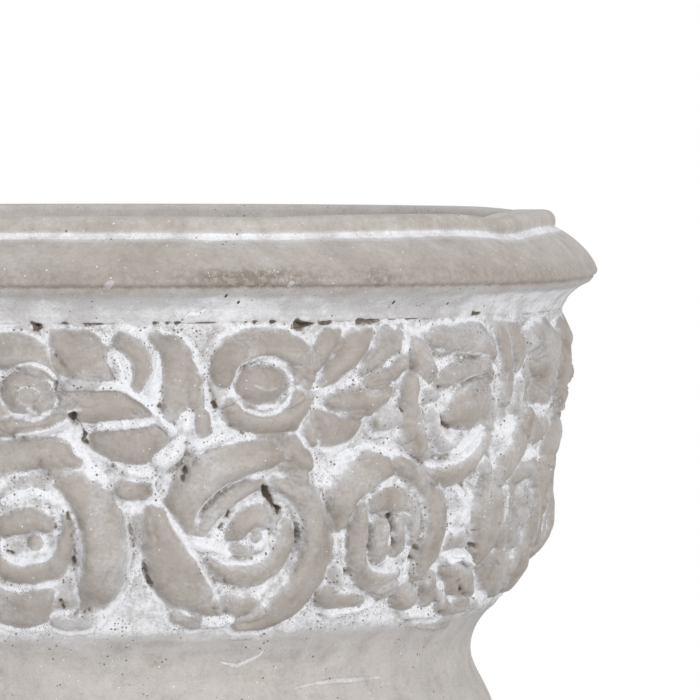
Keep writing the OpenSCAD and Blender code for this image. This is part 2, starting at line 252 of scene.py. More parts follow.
# %% [markdown]
# ## Drawing a petal
# A carver draws each petal or leaf lobe as one stroke of the brush, wider in its belly than at its
# ends. So every raised face is a stroke here: a few points (along the tape, drop, half width), a
# height off the band, and whether its face was wiped clean (1) or still wears limewash (0). A
# smooth curve runs through the points, and a place is inside the stroke where it is nearer to the
# curve than the half width.

# %% Strokes
# The depth given to places far outside every stroke, in mm
OUTSIDE = -99.0
# A stroke's tip: how far beyond the end it lies and how wide it is, in half widths
TIP_REACH, TIP_WIDTH = 1.05, 0.25


def spine(points, steps=9):
    """Catmull-Rom curve through the points: between two of them, a cubic that leaves and arrives
    along the line joining their neighbours."""
    p = np.array(points, float)
    if len(p) == 1:
        return p
    q = np.vstack([2 * p[0] - p[1], p, 2 * p[-1] - p[-2]])
    t = np.linspace(0, 1, steps, endpoint=False)[:, None]
    parts = []
    for a, b, c, d in zip(q[:-3], q[1:-2], q[2:-1], q[3:]):
        parts.append(0.5 * (2 * b + (c - a) * t + (2 * a - 5 * b + 4 * c - d) * t**2
                            + (3 * b - a - 3 * c + d) * t**3))
    return np.vstack(parts + [p[-1:]])


def inside_stroke(points, along, drop, top=0.0, heart=(0, 0), lean=0.0):
    """How deep a place lies inside a stroke: the greatest half width less distance over its curve.
    The height beside it is the top, plus a point's own fourth number, plus the lean for each mm
    that the place is nearer to the heart than the curve is."""
    points = [(*p, 0.0)[:4] for p in points]
    depth = np.full(along.shape, OUTSIDE)
    height = np.full(along.shape, float(top))
    own_distance = np.hypot(along - heart[0], drop - heart[1])
    for a, b, half, extra in spine(points):
        here = half - np.hypot(along - a, drop - b)
        nearer = here > depth
        depth = np.where(nearer, here, depth)
        towards = np.clip(np.hypot(a - heart[0], b - heart[1]) - own_distance, -half - 1, half + 1)
        height = np.where(nearer, top + extra + lean * towards, height)
    return depth, height


def pointed(points):
    """The stroke with a tip beyond each end: further along its own line by one half width, and a
    quarter as wide there. Short dabs of one or two points stay round."""
    if len(points) < 3:
        return points
    p = [np.array((*q, 0.0)[:4], float) for q in points]
    tips = []
    for end, before in ((p[0], p[1]), (p[-1], p[-2])):
        line = end[:2] - before[:2]
        line = line / max(np.hypot(*line), 0.01)
        tips.append((*(end[:2] + line * end[2] * TIP_REACH), end[2] * TIP_WIDTH, end[3]))
    return [tips[0]] + [tuple(q) for q in p] + [tips[1]]


print("points on a sample curve:", len(spine([(0, 0, 1), (5, 2, 2), (9, 0, 1)])))

# %% [markdown]
# ## The frieze's pattern
# One repeat of the frieze has seven reliefs above and seven below. Each is listed with its middle,
# how finely its mesh is cut, the bed that it stands on, its raised strokes, thin lines, and the dark
# slots left open in the casting.

# %% Upper row
RELIEFS = {}


def draw_relief(kind, middle, spokes, rings, bed, strokes, lines=(), slots=(), heart=(0, 0), lean=0.0):
    """Note down one relief. Its middle is (tape, drop), and its mesh is cut into spokes and rings.
    The bed is a height and the points of its curve, a stroke is a height, how wiped it is and its
    points, a line is a rise, its limewash and its points, and a slot is a depth and its points.
    Petals lean towards the heart by lean mm for each mm."""
    RELIEFS[kind] = dict(middle=middle, spokes=spokes, rings=rings, bed=bed, strokes=strokes,
                         lines=lines, slots=slots, heart=heart, lean=lean)


draw_relief(
    "upper_rose_left", middle=(-20.5, 39.5), heart=(-18, 40), lean=0.24, spokes=258, rings=42,
    bed=(1.3, [(-23, 40, 9.5), (-18, 39.5, 9)]),
    strokes=[
        (4.4, 1, [(-30, 44, 2.8, 0.2), (-30.5, 37, 3.5, 0.4), (-26, 31.8, 3.4, -0.8),
                  (-19, 30.4, 2.9, -1.4), (-14, 32.6, 2.6, -1.6), (-10.8, 34.8, 1.6, -1.7)]),
        (3.7, 1, [(-17, 40.1, 4.3), (-15.6, 40.1, 4.3)]),
        (3.4, 1, [(-27, 46.8, 2.2), (-20, 47.9, 1.6), (-13, 47, 1.6), (-8.6, 45.3, 1.1)]),
        (2.4, 1, [(-12.2, 42.8, 1.5), (-8.4, 42.2, 1.3)]),
        (2.4, 0, [(-18, 49.2, 0.6), (-12, 48.3, 0.7), (-8.2, 46.6, 0.6)]),
        (2.6, 1, [(-24.6, 36.8, 1.2), (-24.8, 41.5, 1.3), (-22.6, 44.3, 0.9)]),
    ],
    lines=[
        (0.3, 1, [(-17.9, 41, 0.2), (-17.6, 38.9, 0.25), (-15.2, 38.4, 0.25), (-13.4, 39.5, 0.2),
                  (-13.3, 41.4, 0.2), (-15.4, 42.5, 0.2), (-17.3, 42.1, 0.2)]),
        (0.2, 0.9, [(-15.8, 43.6, 0.7), (-15.3, 44.4, 0.5)]),
        (-0.5, 1.1, [(-21.6, 37.4, 0.4), (-19.3, 34.4, 0.45), (-15.6, 33.2, 0.5), (-11.9, 34.4, 0.55),
                     (-9.6, 37.4, 0.5), (-9.4, 41.3, 0.5), (-11.5, 44.5, 0.6), (-15, 46, 0.6),
                     (-18.8, 45.1, 0.5)]),
    ],
    slots=[
        (2, [(-14, 25.8, 0.7), (-12.9, 26.9, 0.4)]), (1.8, [(-9.9, 37.8, 0.4), (-9.8, 38.2, 0.4)]),
        (1.8, [(-9.5, 40.2, 0.4), (-9.2, 40.7, 0.4)]), (0.9, [(-17.5, 33.4, 0.3), (-15.7, 33.7, 0.3)]),
        (1.3, [(-19.6, 50.4, 0.35), (-14.4, 50.4, 0.35)]), (1.3, [(-22.4, 48.3, 0.3), (-19.5, 50, 0.35)]),
        (0.8, [(-22.2, 34.2, 0.2), (-21.2, 34, 0.2)]),
    ],
)
draw_relief(
    "broad_leaf", middle=(5, 42.5), spokes=320, rings=58,
    bed=(0.9, [(-5, 34, 4.5), (2, 40, 7), (10, 40, 8), (13, 46, 8), (6, 52, 7)]),
    strokes=[
        (2.6, 1, [(-6.6, 29.4, 3.6), (-4.6, 31.8, 5), (-2.6, 33.6, 4), (-0.8, 35, 2.4)]),
        (3, 1, [(-8, 41.2, 2), (-4, 42.1, 3.3), (0.5, 42.6, 3.6), (5, 42.8, 3.2), (9.4, 43.9, 1.9)]),
        (2.9, 1, [(0.4, 50.8, 1.6), (4.2, 51.4, 3), (8.6, 51.6, 3.7), (12, 50.2, 2.7)]),
        (2.9, 1, [(5.2, 28.2, 0.9), (8.4, 31.2, 2.3), (9.4, 34.6, 2.3), (8.1, 38.2, 1.3)]),
        (3.1, 1, [(12.6, 28.6, 1.2), (15.8, 31.5, 2.7), (17.4, 36, 3.6), (17.1, 40.5, 3.5),
                  (15.6, 44.8, 1.9)]),
        (2.9, 0, [(-0.8, 38.8, 0.6), (4, 38.9, 0.7), (8, 41.2, 0.8), (12, 44.6, 0.8), (15.4, 48.4, 0.9)]),
        (2.6, 0, [(3.4, 32.6, 1.4), (4.8, 34.4, 1.7), (5.4, 37, 1.2)]),
        (2.7, 0, [(12.5, 31.6, 0.5), (12.4, 35.6, 0.8), (11.4, 39.8, 1.5), (12.4, 42.2, 1)]),
        (2.7, 0, [(0.4, 47.7, 0.5), (5, 47.5, 0.8), (9, 46.9, 0.8), (12, 46.2, 0.4)]),
        (2.4, 0, [(18.8, 45.6, 1.9), (19, 47.6, 1.7)]),
        (2.3, 0, [(13.8, 55.6, 1.7), (16.4, 53.7, 2)]),
        (2.3, 0, [(6.6, 58.6, 1.2), (10.6, 58.9, 1.2)]),
        (2.5, 1, [(21.4, 37.6, 0.8), (21.5, 42, 0.9)]),
        (2.1, 1, [(22.6, 45.7, 0.7), (23.4, 48.4, 0.9)]),
        (2.1, 1, [(6, 62, 1.5), (9.4, 62.3, 1.3)]),
        (3.2, 0.55, [(-7, 38.2, 0.5), (-4, 37.9, 0.6), (-1.4, 38.2, 0.5)]),
        (3.2, 0, [(7.9, 44.3, 0.5), (8.1, 44.5, 0.5)]),
    ],
    lines=[
        (-0.25, 0, [(-6.5, 41.2, 0.15), (-4.4, 42.9, 0.15), (-2, 43.2, 0.15), (0.3, 42, 0.15),
                    (0.6, 40.6, 0.15)]),
        (0.3, 0.9, [(-6.9, 44.2, 0.5), (-5.4, 43.8, 0.5), (-4.2, 43.6, 0.3)]),
    ],
    slots=[
        (3, [(-6.2, 44.9, 0.7), (-5, 47.8, 0.8), (-3.3, 51.2, 0.6)]),
        (1.8, [(2.9, 56.7, 0.35), (3.8, 58, 0.4)]), (1.5, [(10.9, 62, 0.3), (10.9, 63.8, 0.3)]),
        (1.8, [(13.3, 61.4, 0.5), (13.5, 62.9, 0.5)]), (1.5, [(-9.6, 31.5, 0.35), (-8.2, 33.6, 0.3)]),
        (1.2, [(12.9, 41.6, 0.3), (13.1, 43.6, 0.3)]),
    ],
)
draw_relief(
    "upper_rose_middle", middle=(37, 38.8), heart=(37, 38.8), lean=0.26, spokes=275, rings=46,
    bed=(1.2, [(33, 38.8, 9.5), (40, 38.8, 9.5)]),
    strokes=[
        (3.5, 1, [(27.6, 36, 1.9), (28.9, 31.8, 2.3), (33, 29.9, 2.6), (39.5, 29.6, 2.7), (45, 32, 2.8),
                  (47.9, 35.6, 1.8)]),
        (3.4, 1, [(30.6, 44.6, 2), (34.5, 46.9, 2.5), (40, 47.4, 2.7), (45, 45.1, 2.8), (47.1, 41.5, 2)]),
        (3.4, 1, [(35.4, 38.8, 4.2), (38.4, 38.3, 4.4)]),
        (2.6, 1, [(44.9, 36.6, 1), (45.1, 37.5, 1)]),
        (2.4, 1, [(47.7, 37.8, 0.7), (47.8, 38.3, 0.7)]),
        (2.6, 1, [(42.8, 42.4, 0.8), (44.6, 41.1, 1)]),
        (1.6, 0, [(22.8, 52.6, 1), (28, 50.9, 1.1), (34, 50.7, 0.9)]),
    ],
    lines=[
        (0.25, 0.7, [(34.5, 38.4, 0.25), (37, 39.4, 0.3), (39.4, 39.2, 0.2)]),
        (-0.4, 1.1, [(32.4, 44, 0.55), (30, 39.9, 0.5), (30.8, 35.3, 0.45), (34.4, 32.4, 0.45),
                     (39.2, 32.4, 0.5), (42.8, 35.3, 0.6), (43.6, 39.9, 0.5), (41.2, 44, 0.6),
                     (36.8, 45.2, 0.5), (32.4, 44, 0.55)]),
    ],
    slots=[
        (2.6, [(45.4, 25.6, 0.7), (46.6, 26, 0.8), (48.6, 25.4, 0.6)]),
        (1.8, [(51.4, 25.2, 0.5), (53.8, 25.3, 0.5)]), (1.4, [(24.9, 30.2, 0.3), (24.8, 31, 0.3)]),
        (2.2, [(24.6, 38.2, 0.5), (26.2, 43.6, 0.6)]), (1.5, [(27.9, 46.4, 0.4), (28.2, 46.8, 0.4)]),
        (1.4, [(29.8, 47.9, 0.35), (30.1, 48.1, 0.35)]), (1.6, [(32.2, 49.4, 0.4), (32.6, 49.6, 0.4)]),
        (1.3, [(26.9, 45.4, 0.3), (27.3, 47.2, 0.3)]), (1.3, [(21.3, 56.2, 0.5), (22, 55.6, 0.5)]),
        (1.2, [(19.6, 51.8, 0.4), (20.4, 51.4, 0.4)]),
    ],
)
draw_relief(
    "fan_leaf", middle=(60.5, 38.5), spokes=293, rings=46,
    bed=(1, [(54, 38, 7.5), (60, 37, 8.5), (67, 36, 7.5)]),
    strokes=[
        (2.8, 1, [(53.6, 28.4, 2), (51.2, 31.2, 1.5), (50.1, 34, 0.8)]),
        (3.1, 1, [(52.2, 37.6, 0.7), (55.3, 34.6, 2.1), (59.2, 31, 3.1), (61.6, 28.6, 2.5)]),
        (3, 1, [(62.9, 35.5, 1), (66.6, 31.9, 2.2), (70.2, 28.6, 2.4)]),
        (2.8, 1, [(64.2, 38.3, 0.8), (68.5, 37.4, 1.4), (72.2, 34.8, 1.3)]),
        (3.1, 1, [(54.2, 42.8, 0.9), (58.6, 42.9, 2.4), (63.6, 42.8, 3), (67.8, 41, 1.9)]),
        (2.9, 1, [(50.6, 46.2, 1), (54, 49.2, 2.7), (58.6, 48.7, 2.2), (61.2, 46.8, 1)]),
        (2.2, 0.9, [(48.6, 47.4, 0.6), (49.8, 51.4, 0.9)]),
        (2.1, 0.55, [(69, 47.4, 1.9), (71.6, 47, 2)]),
        (2, 0, [(70.9, 26.8, 0.6), (73.4, 28.2, 0.7), (73.9, 31, 0.5)]),
        (1.9, 0.6, [(75.4, 49.2, 0.8), (75.8, 51.4, 0.9)]),
    ],
    lines=[
        (0.25, 0.8, [(67.4, 47.4, 0.3), (70, 44.6, 0.35), (73, 45.6, 0.3), (73.6, 48.6, 0.25)]),
    ],
    slots=[
        (1.4, [(73.9, 43.6, 0.35), (73.6, 45.4, 0.35)]), (1.2, [(67.4, 50.6, 0.3), (67.6, 51.6, 0.3)]),
        (1.7, [(71.8, 53.6, 0.35), (72.9, 53.5, 0.4)]), (1.2, [(75.8, 55.4, 0.4), (76.2, 55.6, 0.35)]),
    ],
)
draw_relief(
    "upper_rose_right", middle=(91, 44.5), heart=(93, 45.5), lean=0.26, spokes=311, rings=53,
    bed=(1.3, [(84, 44, 9), (92, 44, 11.5), (97, 47, 11.5)]),
    strokes=[
        (3.5, 1, [(83.4, 29.3, 1), (88, 29.2, 2.3), (94, 29, 2.8), (99.5, 30.3, 2.8), (102.6, 32.8, 1.9)]),
        (3, 1, [(85.3, 39.2, 0.8), (90, 37.2, 1.5), (95.5, 36.1, 1.3), (100.5, 36, 1.2), (103.2, 38.1, 1)]),
        (3.7, 1, [(90.4, 47.6, 2.6), (95.8, 45.6, 5.2), (100.8, 44.2, 4.5), (101.8, 47, 3)]),
        (3.2, 1, [(76.1, 40, 1.5), (75.9, 46, 2.2), (78.1, 51, 2.2), (81.2, 55.3, 1.3)]),
        (2.6, 0.35, [(83, 46.5, 0.7), (84.2, 50.5, 1.1), (88, 53.8, 1.2), (92.4, 52.4, 0.8)]),
        (3.5, 1, [(84.2, 60.5, 1.3), (90, 61.5, 2), (97, 59.5, 2.8), (102.5, 55, 2.4), (104.7, 50.6, 1.2)]),
        (2.3, 1, [(77.5, 31, 1.5), (80, 34.5, 1.7), (82, 37, 1.2)]),
        (2, 0.6, [(80.4, 42.6, 1.2), (83.6, 42.2, 1)]),
        (2.4, 0, [(102.8, 36.2, 1), (105, 37, 1.2)]),
        (2.6, 0, [(93, 56.2, 1), (98, 53.8, 1.2), (102, 50.2, 0.9)]),
    ],
    lines=[
        (0.3, 0.7, [(86.6, 46.6, 0.45), (90.4, 42.4, 0.5), (95.6, 39.7, 0.4)]),
    ],
    slots=[
        (3, [(85.6, 46.6, 0.5), (86.9, 48.8, 0.65), (89.8, 50.2, 0.4)]),
        (1.4, [(80.6, 43.8, 0.4), (81, 45, 0.35)]), (1.4, [(84.4, 40.4, 0.35), (88, 40.8, 0.45)]),
        (1.5, [(81.4, 49.5, 0.35), (82.6, 54, 0.35)]),
    ],
)
draw_relief(
    "upright_leaf", middle=(114.5, 45), spokes=267, rings=48,
    bed=(1, [(110, 32, 4), (112, 44, 5), (116, 55, 7)]),
    strokes=[
        (3, 1, [(108.8, 26.6, 1.3), (109.6, 32, 1.5), (111, 38, 1.8), (111.4, 43.6, 1.5)]),
        (3, 1, [(114.3, 27.6, 1.7), (116, 33, 2), (115.5, 36.6, 1.1)]),
        (3.4, 1, [(124.6, 49.6, 1.6), (122.4, 55, 3.2), (118.4, 59.4, 3.6), (112.4, 61.6, 2.4)]),
        (2.2, 0.4, [(117.8, 41, 1.8), (116.8, 46, 1.9)]),
        (2.6, 0, [(107.6, 51.4, 1.6), (111.4, 53.6, 2), (115.4, 50.4, 1.6)]),
        (2, 0.8, [(105.6, 44.6, 0.9), (106.6, 47.6, 0.9)]),
    ],
    slots=[
        (1.4, [(104.4, 62.2, 0.5), (106.4, 61.8, 0.5)]),
    ],
)
draw_relief(
    "upper_rose_side", middle=(131, 39.5), heart=(131, 38), lean=0.05, spokes=267, rings=44,
    bed=(2, [(127, 38, 9), (134, 42, 9)]),
    strokes=[
        (3.9, 0.9, [(123.6, 31.6, 2.6), (129, 30, 3.6), (135, 31.4, 4), (139, 34.6, 3.2)]),
        (4.1, 0.9, [(124.6, 36.4, 2.4), (130.5, 36.6, 5.2), (136.5, 38.8, 4.6)]),
        (3.4, 0.8, [(128, 43.2, 2.6), (134, 44.2, 2.6), (138.6, 43.4, 2)]),
        (2.9, 0.9, [(124.6, 50.2, 2.4), (131, 52.2, 3.4), (137.4, 52.4, 2.6)]),
        (2.6, 0, [(129.6, 46.8, 0.7), (133.4, 48.2, 1.1), (137, 46.4, 0.7)]),
    ],
)
print("upper row:", len(RELIEFS), "reliefs")

# %% Lower row
draw_relief(
    "lower_rose_left", middle=(-14.8, 74), heart=(-16, 74), lean=0.26, spokes=356, rings=60,
    bed=(1.8, [(-18, 74, 16.5), (-12.5, 74.5, 16.5)]),
    strokes=[
        (4.3, 1, [(-9, 59.4, 1.6, -1.6), (-4.5, 62.7, 3.2, -1.7), (-0.2, 69, 3.9, -0.9), (1.1, 76, 4.5, 1),
                  (0.2, 83, 4.3, 0.5), (-1.8, 88.4, 2.6, -2.4)]),
        (3, 1, [(-28.5, 58.6, 3.2), (-22, 54.9, 3), (-15, 53.9, 2.7), (-9.5, 54.5, 2.3),
                (-7.2, 55.7, 1.3)]),
        (3.8, 1, [(-7.9, 70, 1), (-8, 75, 1.5), (-10.5, 79.9, 2), (-15.5, 81.3, 1.9), (-22, 80.8, 1.8),
                  (-25.5, 77, 1.5), (-25.6, 72, 1.1)]),
        (3.7, 1, [(-23.5, 71.6, 1.3), (-19.5, 69.6, 2.2), (-15, 69.1, 2.1), (-11.4, 70.2, 1.1)]),
        (2.3, 1, [(-12.4, 86.2, 1.4), (-15, 89.2, 3), (-20, 90.2, 3.6), (-26, 88.3, 3.9),
                  (-31, 83.5, 3.6)]),
        (3.9, 1, [(-33.2, 79, 2.8), (-34.3, 73, 3.2), (-33, 66, 3.1), (-30.5, 62, 1.9)]),
        (1, 0.3, [(-10.4, 93.1, 0.7), (-6, 93.4, 0.8), (-2, 92, 0.7)]),
        (2.7, 1, [(-15.2, 73.8, 0.8), (-15, 74.4, 0.8)]),
        (1.6, 0, [(-21.5, 64.6, 1.5), (-15, 62.6, 1.6), (-11, 64.6, 1.2)]),
        (2.8, 0.2, [(-27.6, 66.5, 1.4), (-29, 72, 1.5), (-27.6, 78, 1.4)]),
        (2.4, 1, [(-11.4, 56.4, 1.3), (-10.4, 57.4, 1.2)]),
    ],
    lines=[
        (0.3, 0.2, [(-12.4, 52.4, 0.2), (-14.2, 54.4, 0.25), (-13.4, 57.6, 0.2)]),
    ],
    slots=[
        (2.2, [(-6.7, 72.4, 0.25), (-6.3, 76, 0.5), (-6.2, 79.6, 0.5)]),
        (3, [(-9.5, 88.4, 0.65), (-9.4, 90.4, 0.65)]), (1.6, [(-12, 65.6, 0.3), (-11.4, 67.8, 0.35)]),
        (1.8, [(-10.8, 68.8, 0.35), (-10.4, 70.6, 0.35)]), (1.5, [(-7.5, 67.5, 0.3), (-6.7, 70.2, 0.35)]),
        (1.6, [(-24, 73.6, 0.4), (-20.2, 72.2, 0.4)]), (1.6, [(-22.4, 76.6, 0.45), (-20.4, 77.4, 0.4)]),
        (1.5, [(-7.5, 91.4, 0.45), (-3, 90.6, 0.35)]),
    ],
)
draw_relief(
    "lower_rose_middle", middle=(33.5, 74), heart=(35.5, 73), lean=0.28, spokes=373, rings=62,
    bed=(1.7, [(28, 75.5, 15.5), (37, 74.5, 17)]),
    strokes=[
        (3.9, 1, [(20.4, 70.4, 1.6), (19.5, 65, 3.2), (23.5, 59.5, 3.7), (30, 56, 3.5), (37.5, 54.2, 3.2),
                  (44, 54.2, 3), (47.4, 56.3, 2)]),
        (4.1, 1, [(41.2, 60.8, 1), (45.9, 63, 2.2), (51, 69, 3.1), (53.6, 76, 3.8), (52, 83.5, 4.4),
                  (47, 89.3, 3.9), (40.8, 92.8, 2.2), (36.6, 94.4, 0.8)]),
        (3.9, 1, [(12.8, 70, 2.3, -0.4), (15.6, 76, 4.1), (18.6, 82, 5.1), (22.6, 86.8, 4.2),
                  (27.2, 89.8, 2.1)]),
        (3, 1, [(30.4, 88.8, 1.6), (34.5, 90, 2.4), (38.4, 90, 1.7)]),
        (2.5, 0.7, [(19.8, 92.2, 0.8), (24, 93.2, 1.2)]),
        (2.7, 0, [(26.6, 93.2, 1.2), (32.4, 92.9, 1.3)]),
        (3.3, 1, [(23.2, 71.6, 0.8), (25.6, 68.4, 1.3), (28.6, 65.2, 1.2), (33, 62.4, 1), (37, 61.2, 0.7)]),
        (3.8, 1, [(26, 79, 0.8), (30, 81.3, 1.9), (35.5, 82.3, 2.4), (41, 80.5, 2.6), (44.2, 76, 2.1),
                  (44.4, 71.6, 1.3)]),
        (3.6, 1, [(31.8, 72.8, 1.6), (34.5, 69.9, 2.6), (38.3, 68.7, 2.2)]),
        (2.8, 1, [(31.6, 76.2, 0.6), (35, 76.5, 0.7)]),
        (2.5, 0.9, [(36.9, 73.2, 0.6), (37, 73.5, 0.6)]),
        (2.7, 0, [(22.5, 74.8, 1.4), (26, 76, 1.3), (30, 77.6, 0.9)]),
        (2.6, 1, [(42.4, 58, 0.6), (44.6, 58, 0.6)]),
        (2.6, 1, [(45.6, 59.6, 0.6), (48, 60.4, 0.6)]),
        (3, 0.7, [(39.8, 66.4, 0.6), (41.6, 68.8, 0.7)]),
        (1.7, 0.5, [(9.6, 69.6, 1), (10.6, 73.6, 1.2)]),
    ],
    lines=[
        (0.3, 0.8, [(40.2, 51.6, 0.25), (41.6, 54.2, 0.25), (43.2, 55.4, 0.2)]),
        (-0.25, 0, [(18, 89.4, 0.2), (22.4, 88.8, 0.25), (25.4, 87.4, 0.2)]),
    ],
    slots=[
        (3.4, [(37.4, 61.6, 0.45), (39.6, 64.1, 0.75), (42.2, 67.6, 0.65)]),
        (3, [(19.4, 57.8, 0.7), (19, 59.6, 0.7)]), (2, [(47, 70.2, 0.45), (48, 74, 0.55), (47.4, 78, 0.4)]),
        (2, [(29.8, 67.4, 0.35), (28.2, 71.4, 0.5)]),
        (1.4, [(27.5, 80.8, 0.35), (30.5, 83.8, 0.35), (33.6, 84.9, 0.4)]),
        (1.8, [(40.5, 72.4, 0.45), (40.7, 73.2, 0.45)]),
        (1.8, [(10.4, 79.6, 0.5), (11.2, 83, 0.8), (12.6, 85.6, 0.6)]),
        (1.5, [(28.4, 89.6, 0.4), (26.6, 89.9, 0.35)]), (1.5, [(14, 90.3, 0.45), (14.8, 90.6, 0.4)]),
        (1.6, [(27.2, 95.2, 0.35), (28.4, 95.4, 0.35)]), (1.3, [(49.2, 58.4, 0.35), (49.8, 60.4, 0.35)]),
        (1.2, [(23.4, 95, 0.3), (24.6, 95.2, 0.35)]),
    ],
)
draw_relief(
    "lower_rose_right", middle=(74.5, 74.5), heart=(74.5, 75), lean=0.28, spokes=329, rings=55,
    bed=(1.7, [(71, 74.5, 14), (77, 74.5, 14)]),
    strokes=[
        (3.8, 1, [(58.2, 70.8, 1.6), (59.5, 65, 2.9), (63, 60.8, 3.2), (67.5, 58.8, 2.7), (71, 58.9, 1.4)]),
        (4, 1, [(75.2, 58.4, 1.4), (80, 60.8, 2.1), (85.5, 65.5, 2.9), (89, 71.5, 3.9), (89.3, 77.5, 4.3),
                (87.2, 82.2, 2.8)]),
        (3.6, 1, [(68.2, 67.4, 1), (72, 66.1, 2), (77, 67.1, 2.3), (80.7, 70.3, 2.2), (81.8, 74.8, 1.4)]),
        (3.5, 1, [(65, 68.5, 0.8), (64.3, 73, 1.7), (64.9, 79, 1.9), (68, 83.6, 2), (73.5, 85.5, 2),
                  (78, 84.8, 1)]),
        (3.9, 1, [(71, 73.2, 1.9), (71.6, 78, 2.4)]),
        (3.9, 1, [(76.8, 71.8, 1.4), (77, 76.6, 2.7)]),
        (3.2, 1, [(58.4, 88.4, 1.7), (62.5, 89.6, 1.7), (68, 90, 1.3)]),
        (3, 1, [(75, 88.4, 1.2), (78.6, 87.3, 1.3)]),
        (2.6, 0, [(61.8, 92.6, 0.9), (68, 91.9, 1), (73, 90.8, 0.8)]),
        (2.2, 0.2, [(60, 74.4, 1), (60.3, 78.6, 1.2)]),
        (3, 0.6, [(79.6, 71.2, 0.4), (81, 73.8, 0.5)]),
        (2.4, 0.3, [(59.4, 82.6, 1), (60.4, 85.2, 1)]),
    ],
    lines=[
        (0.35, 0.9, [(71.9, 60.6, 0.3), (73.4, 59.8, 0.3), (74.2, 61.2, 0.25)]),
    ],
    slots=[
        (2.8, [(62.2, 82.9, 0.55), (63.6, 83.3, 0.55)]), (2.2, [(67.8, 69.3, 0.45), (68.9, 69.6, 0.45)]),
        (2.4, [(72.9, 69.5, 0.35), (74.2, 73, 0.45), (74.6, 76.6, 0.55)]),
        (1.6, [(67.6, 72.2, 0.4), (67.8, 77.8, 0.4)]), (2.4, [(58.4, 94, 0.4), (60.2, 94.1, 0.45)]),
        (1.5, [(72.2, 91.6, 0.4), (73.2, 93.6, 0.4)]), (1.4, [(61.4, 71.5, 0.35), (61.6, 77, 0.35)]),
        (1.3, [(56.8, 61, 0.3), (55.7, 65.6, 0.3)]), (1.5, [(83.8, 77.6, 0.45), (82.8, 80.6, 0.45)]),
    ],
)
draw_relief(
    "long_leaf", middle=(110.5, 73), spokes=249, rings=40,
    bed=(1.1, [(107, 70, 5), (112, 76, 5.5)]),
    strokes=[
        (3.6, 1, [(106, 61, 1.8), (109.8, 66.4, 4.4), (112, 72.5, 5.6), (113, 78.2, 4.4),
                  (112.6, 81.8, 2)]),
        (2.3, 0.8, [(97.2, 77.8, 2), (101.4, 78, 2)]),
        (2.1, 0.1, [(96.4, 66.2, 1.6), (99.6, 70, 2.2), (98.4, 73.4, 1.6)]),
        (2.4, 0.3, [(117.8, 67.6, 0.8), (118.2, 73, 0.9)]),
    ],
    lines=[
        (0.35, 0.8, [(95.4, 62.8, 0.3), (98, 66, 0.3), (102.2, 72, 0.35)]),
    ],
    slots=[
        (1.6, [(104.6, 70.4, 0.3), (106.4, 75.4, 0.35)]), (2.6, [(107.4, 78.9, 0.5), (108.6, 79.3, 0.5)]),
        (1.2, [(97, 63.6, 0.3), (98.6, 65.2, 0.3)]),
    ],
)
draw_relief(
    "lower_rose_side", middle=(130.5, 73), heart=(130, 74), lean=0.1, spokes=284, rings=48,
    bed=(2.2, [(127, 73, 10), (134, 73, 10)]),
    strokes=[
        (3.4, 0.8, [(123.4, 63.2, 1.6), (128.6, 61.8, 2.4), (134.6, 63.2, 2.4)]),
        (4.2, 0.95, [(136.6, 66.4, 2.2), (139.6, 71.6, 3.2), (139.8, 77.8, 3.6), (136.4, 83.4, 3.2),
                     (130.4, 86.2, 2.2)]),
        (3.3, 0.8, [(120.6, 68.4, 1), (120.4, 75, 1.6), (122.6, 81.4, 1.6)]),
        (3.6, 0.5, [(124.8, 70.6, 1.3), (128.2, 67.8, 1.5), (132.4, 69.4, 1.4), (132.2, 73.6, 1.2)]),
        (3.4, 0.6, [(126.6, 74.6, 1.2), (127.8, 79, 1.6), (132, 79.4, 1.5)]),
        (2.9, 0, [(126.4, 58.8, 1.4), (130.4, 58, 1.2)]),
    ],
    slots=[
        (1.5, [(120.9, 78.2, 0.4), (121.4, 79.4, 0.4)]),
    ],
)
draw_relief(
    "folded_leaf", middle=(99, 88.4), spokes=284, rings=39,
    bed=(1.1, [(86, 89.5, 4), (95, 88.5, 5), (104, 88, 5), (113, 88.5, 5)]),
    strokes=[
        (2.8, 1, [(84.4, 89.6, 2.3), (87, 90.6, 2.3)]),
        (2.8, 1, [(92, 87, 2), (94.6, 90.6, 2.3)]),
        (3.6, 0.9, [(98.4, 84.2, 1.6), (103, 86, 3.4), (108.4, 88.8, 3.6), (112.6, 90.6, 2.2)]),
        (2.9, 1, [(100.2, 93, 1.2), (106, 94.2, 1.6), (113, 94.6, 1.6)]),
        (3.9, 0.1, [(97, 81.8, 0.8), (101.6, 80.8, 0.9), (106, 82.6, 0.8)]),
        (2, 0, [(90, 94.8, 0.8), (97, 95, 1), (103, 96, 0.8)]),
        (2.6, 0.3, [(97.4, 89.4, 0.9), (98.8, 91.4, 0.9)]),
    ],
    slots=[
        (2.2, [(102.4, 86.4, 0.4), (105.4, 89, 0.5), (109.4, 91, 0.4)]),
        (1.7, [(101.4, 94.6, 0.45), (102.6, 95.2, 0.45)]),
    ],
)
draw_relief(
    "curled_leaf", middle=(127, 88.6), spokes=249, rings=35,
    bed=(1.4, [(121, 88.5, 4.5), (128, 88.5, 4.5), (134, 88.5, 3.5)]),
    strokes=[
        (3.5, 0.95, [(116.6, 85.8, 2.8), (122.4, 86.6, 4.6), (128.4, 88, 4.4), (132.6, 89.6, 2.6)]),
        (2.2, 0.3, [(117, 93.2, 0.9), (123, 93.8, 1.2)]),
        (2.6, 0.9, [(134.6, 89.6, 1.9), (137.6, 90.4, 1.9)]),
    ],
    slots=[
        (1.2, [(118, 87.4, 0.3), (122, 88.2, 0.3)]),
    ],
)
print("both rows:", len(RELIEFS), "reliefs")

# %% [markdown]
# ## One field of heights
# On the real pot the reliefs and the band are one skin of cement. So the whole frieze is worked out
# as one field of heights over the tape before it is cut into pieces: reliefs that were sculpted one
# by one would show a seam wherever two of them meet.

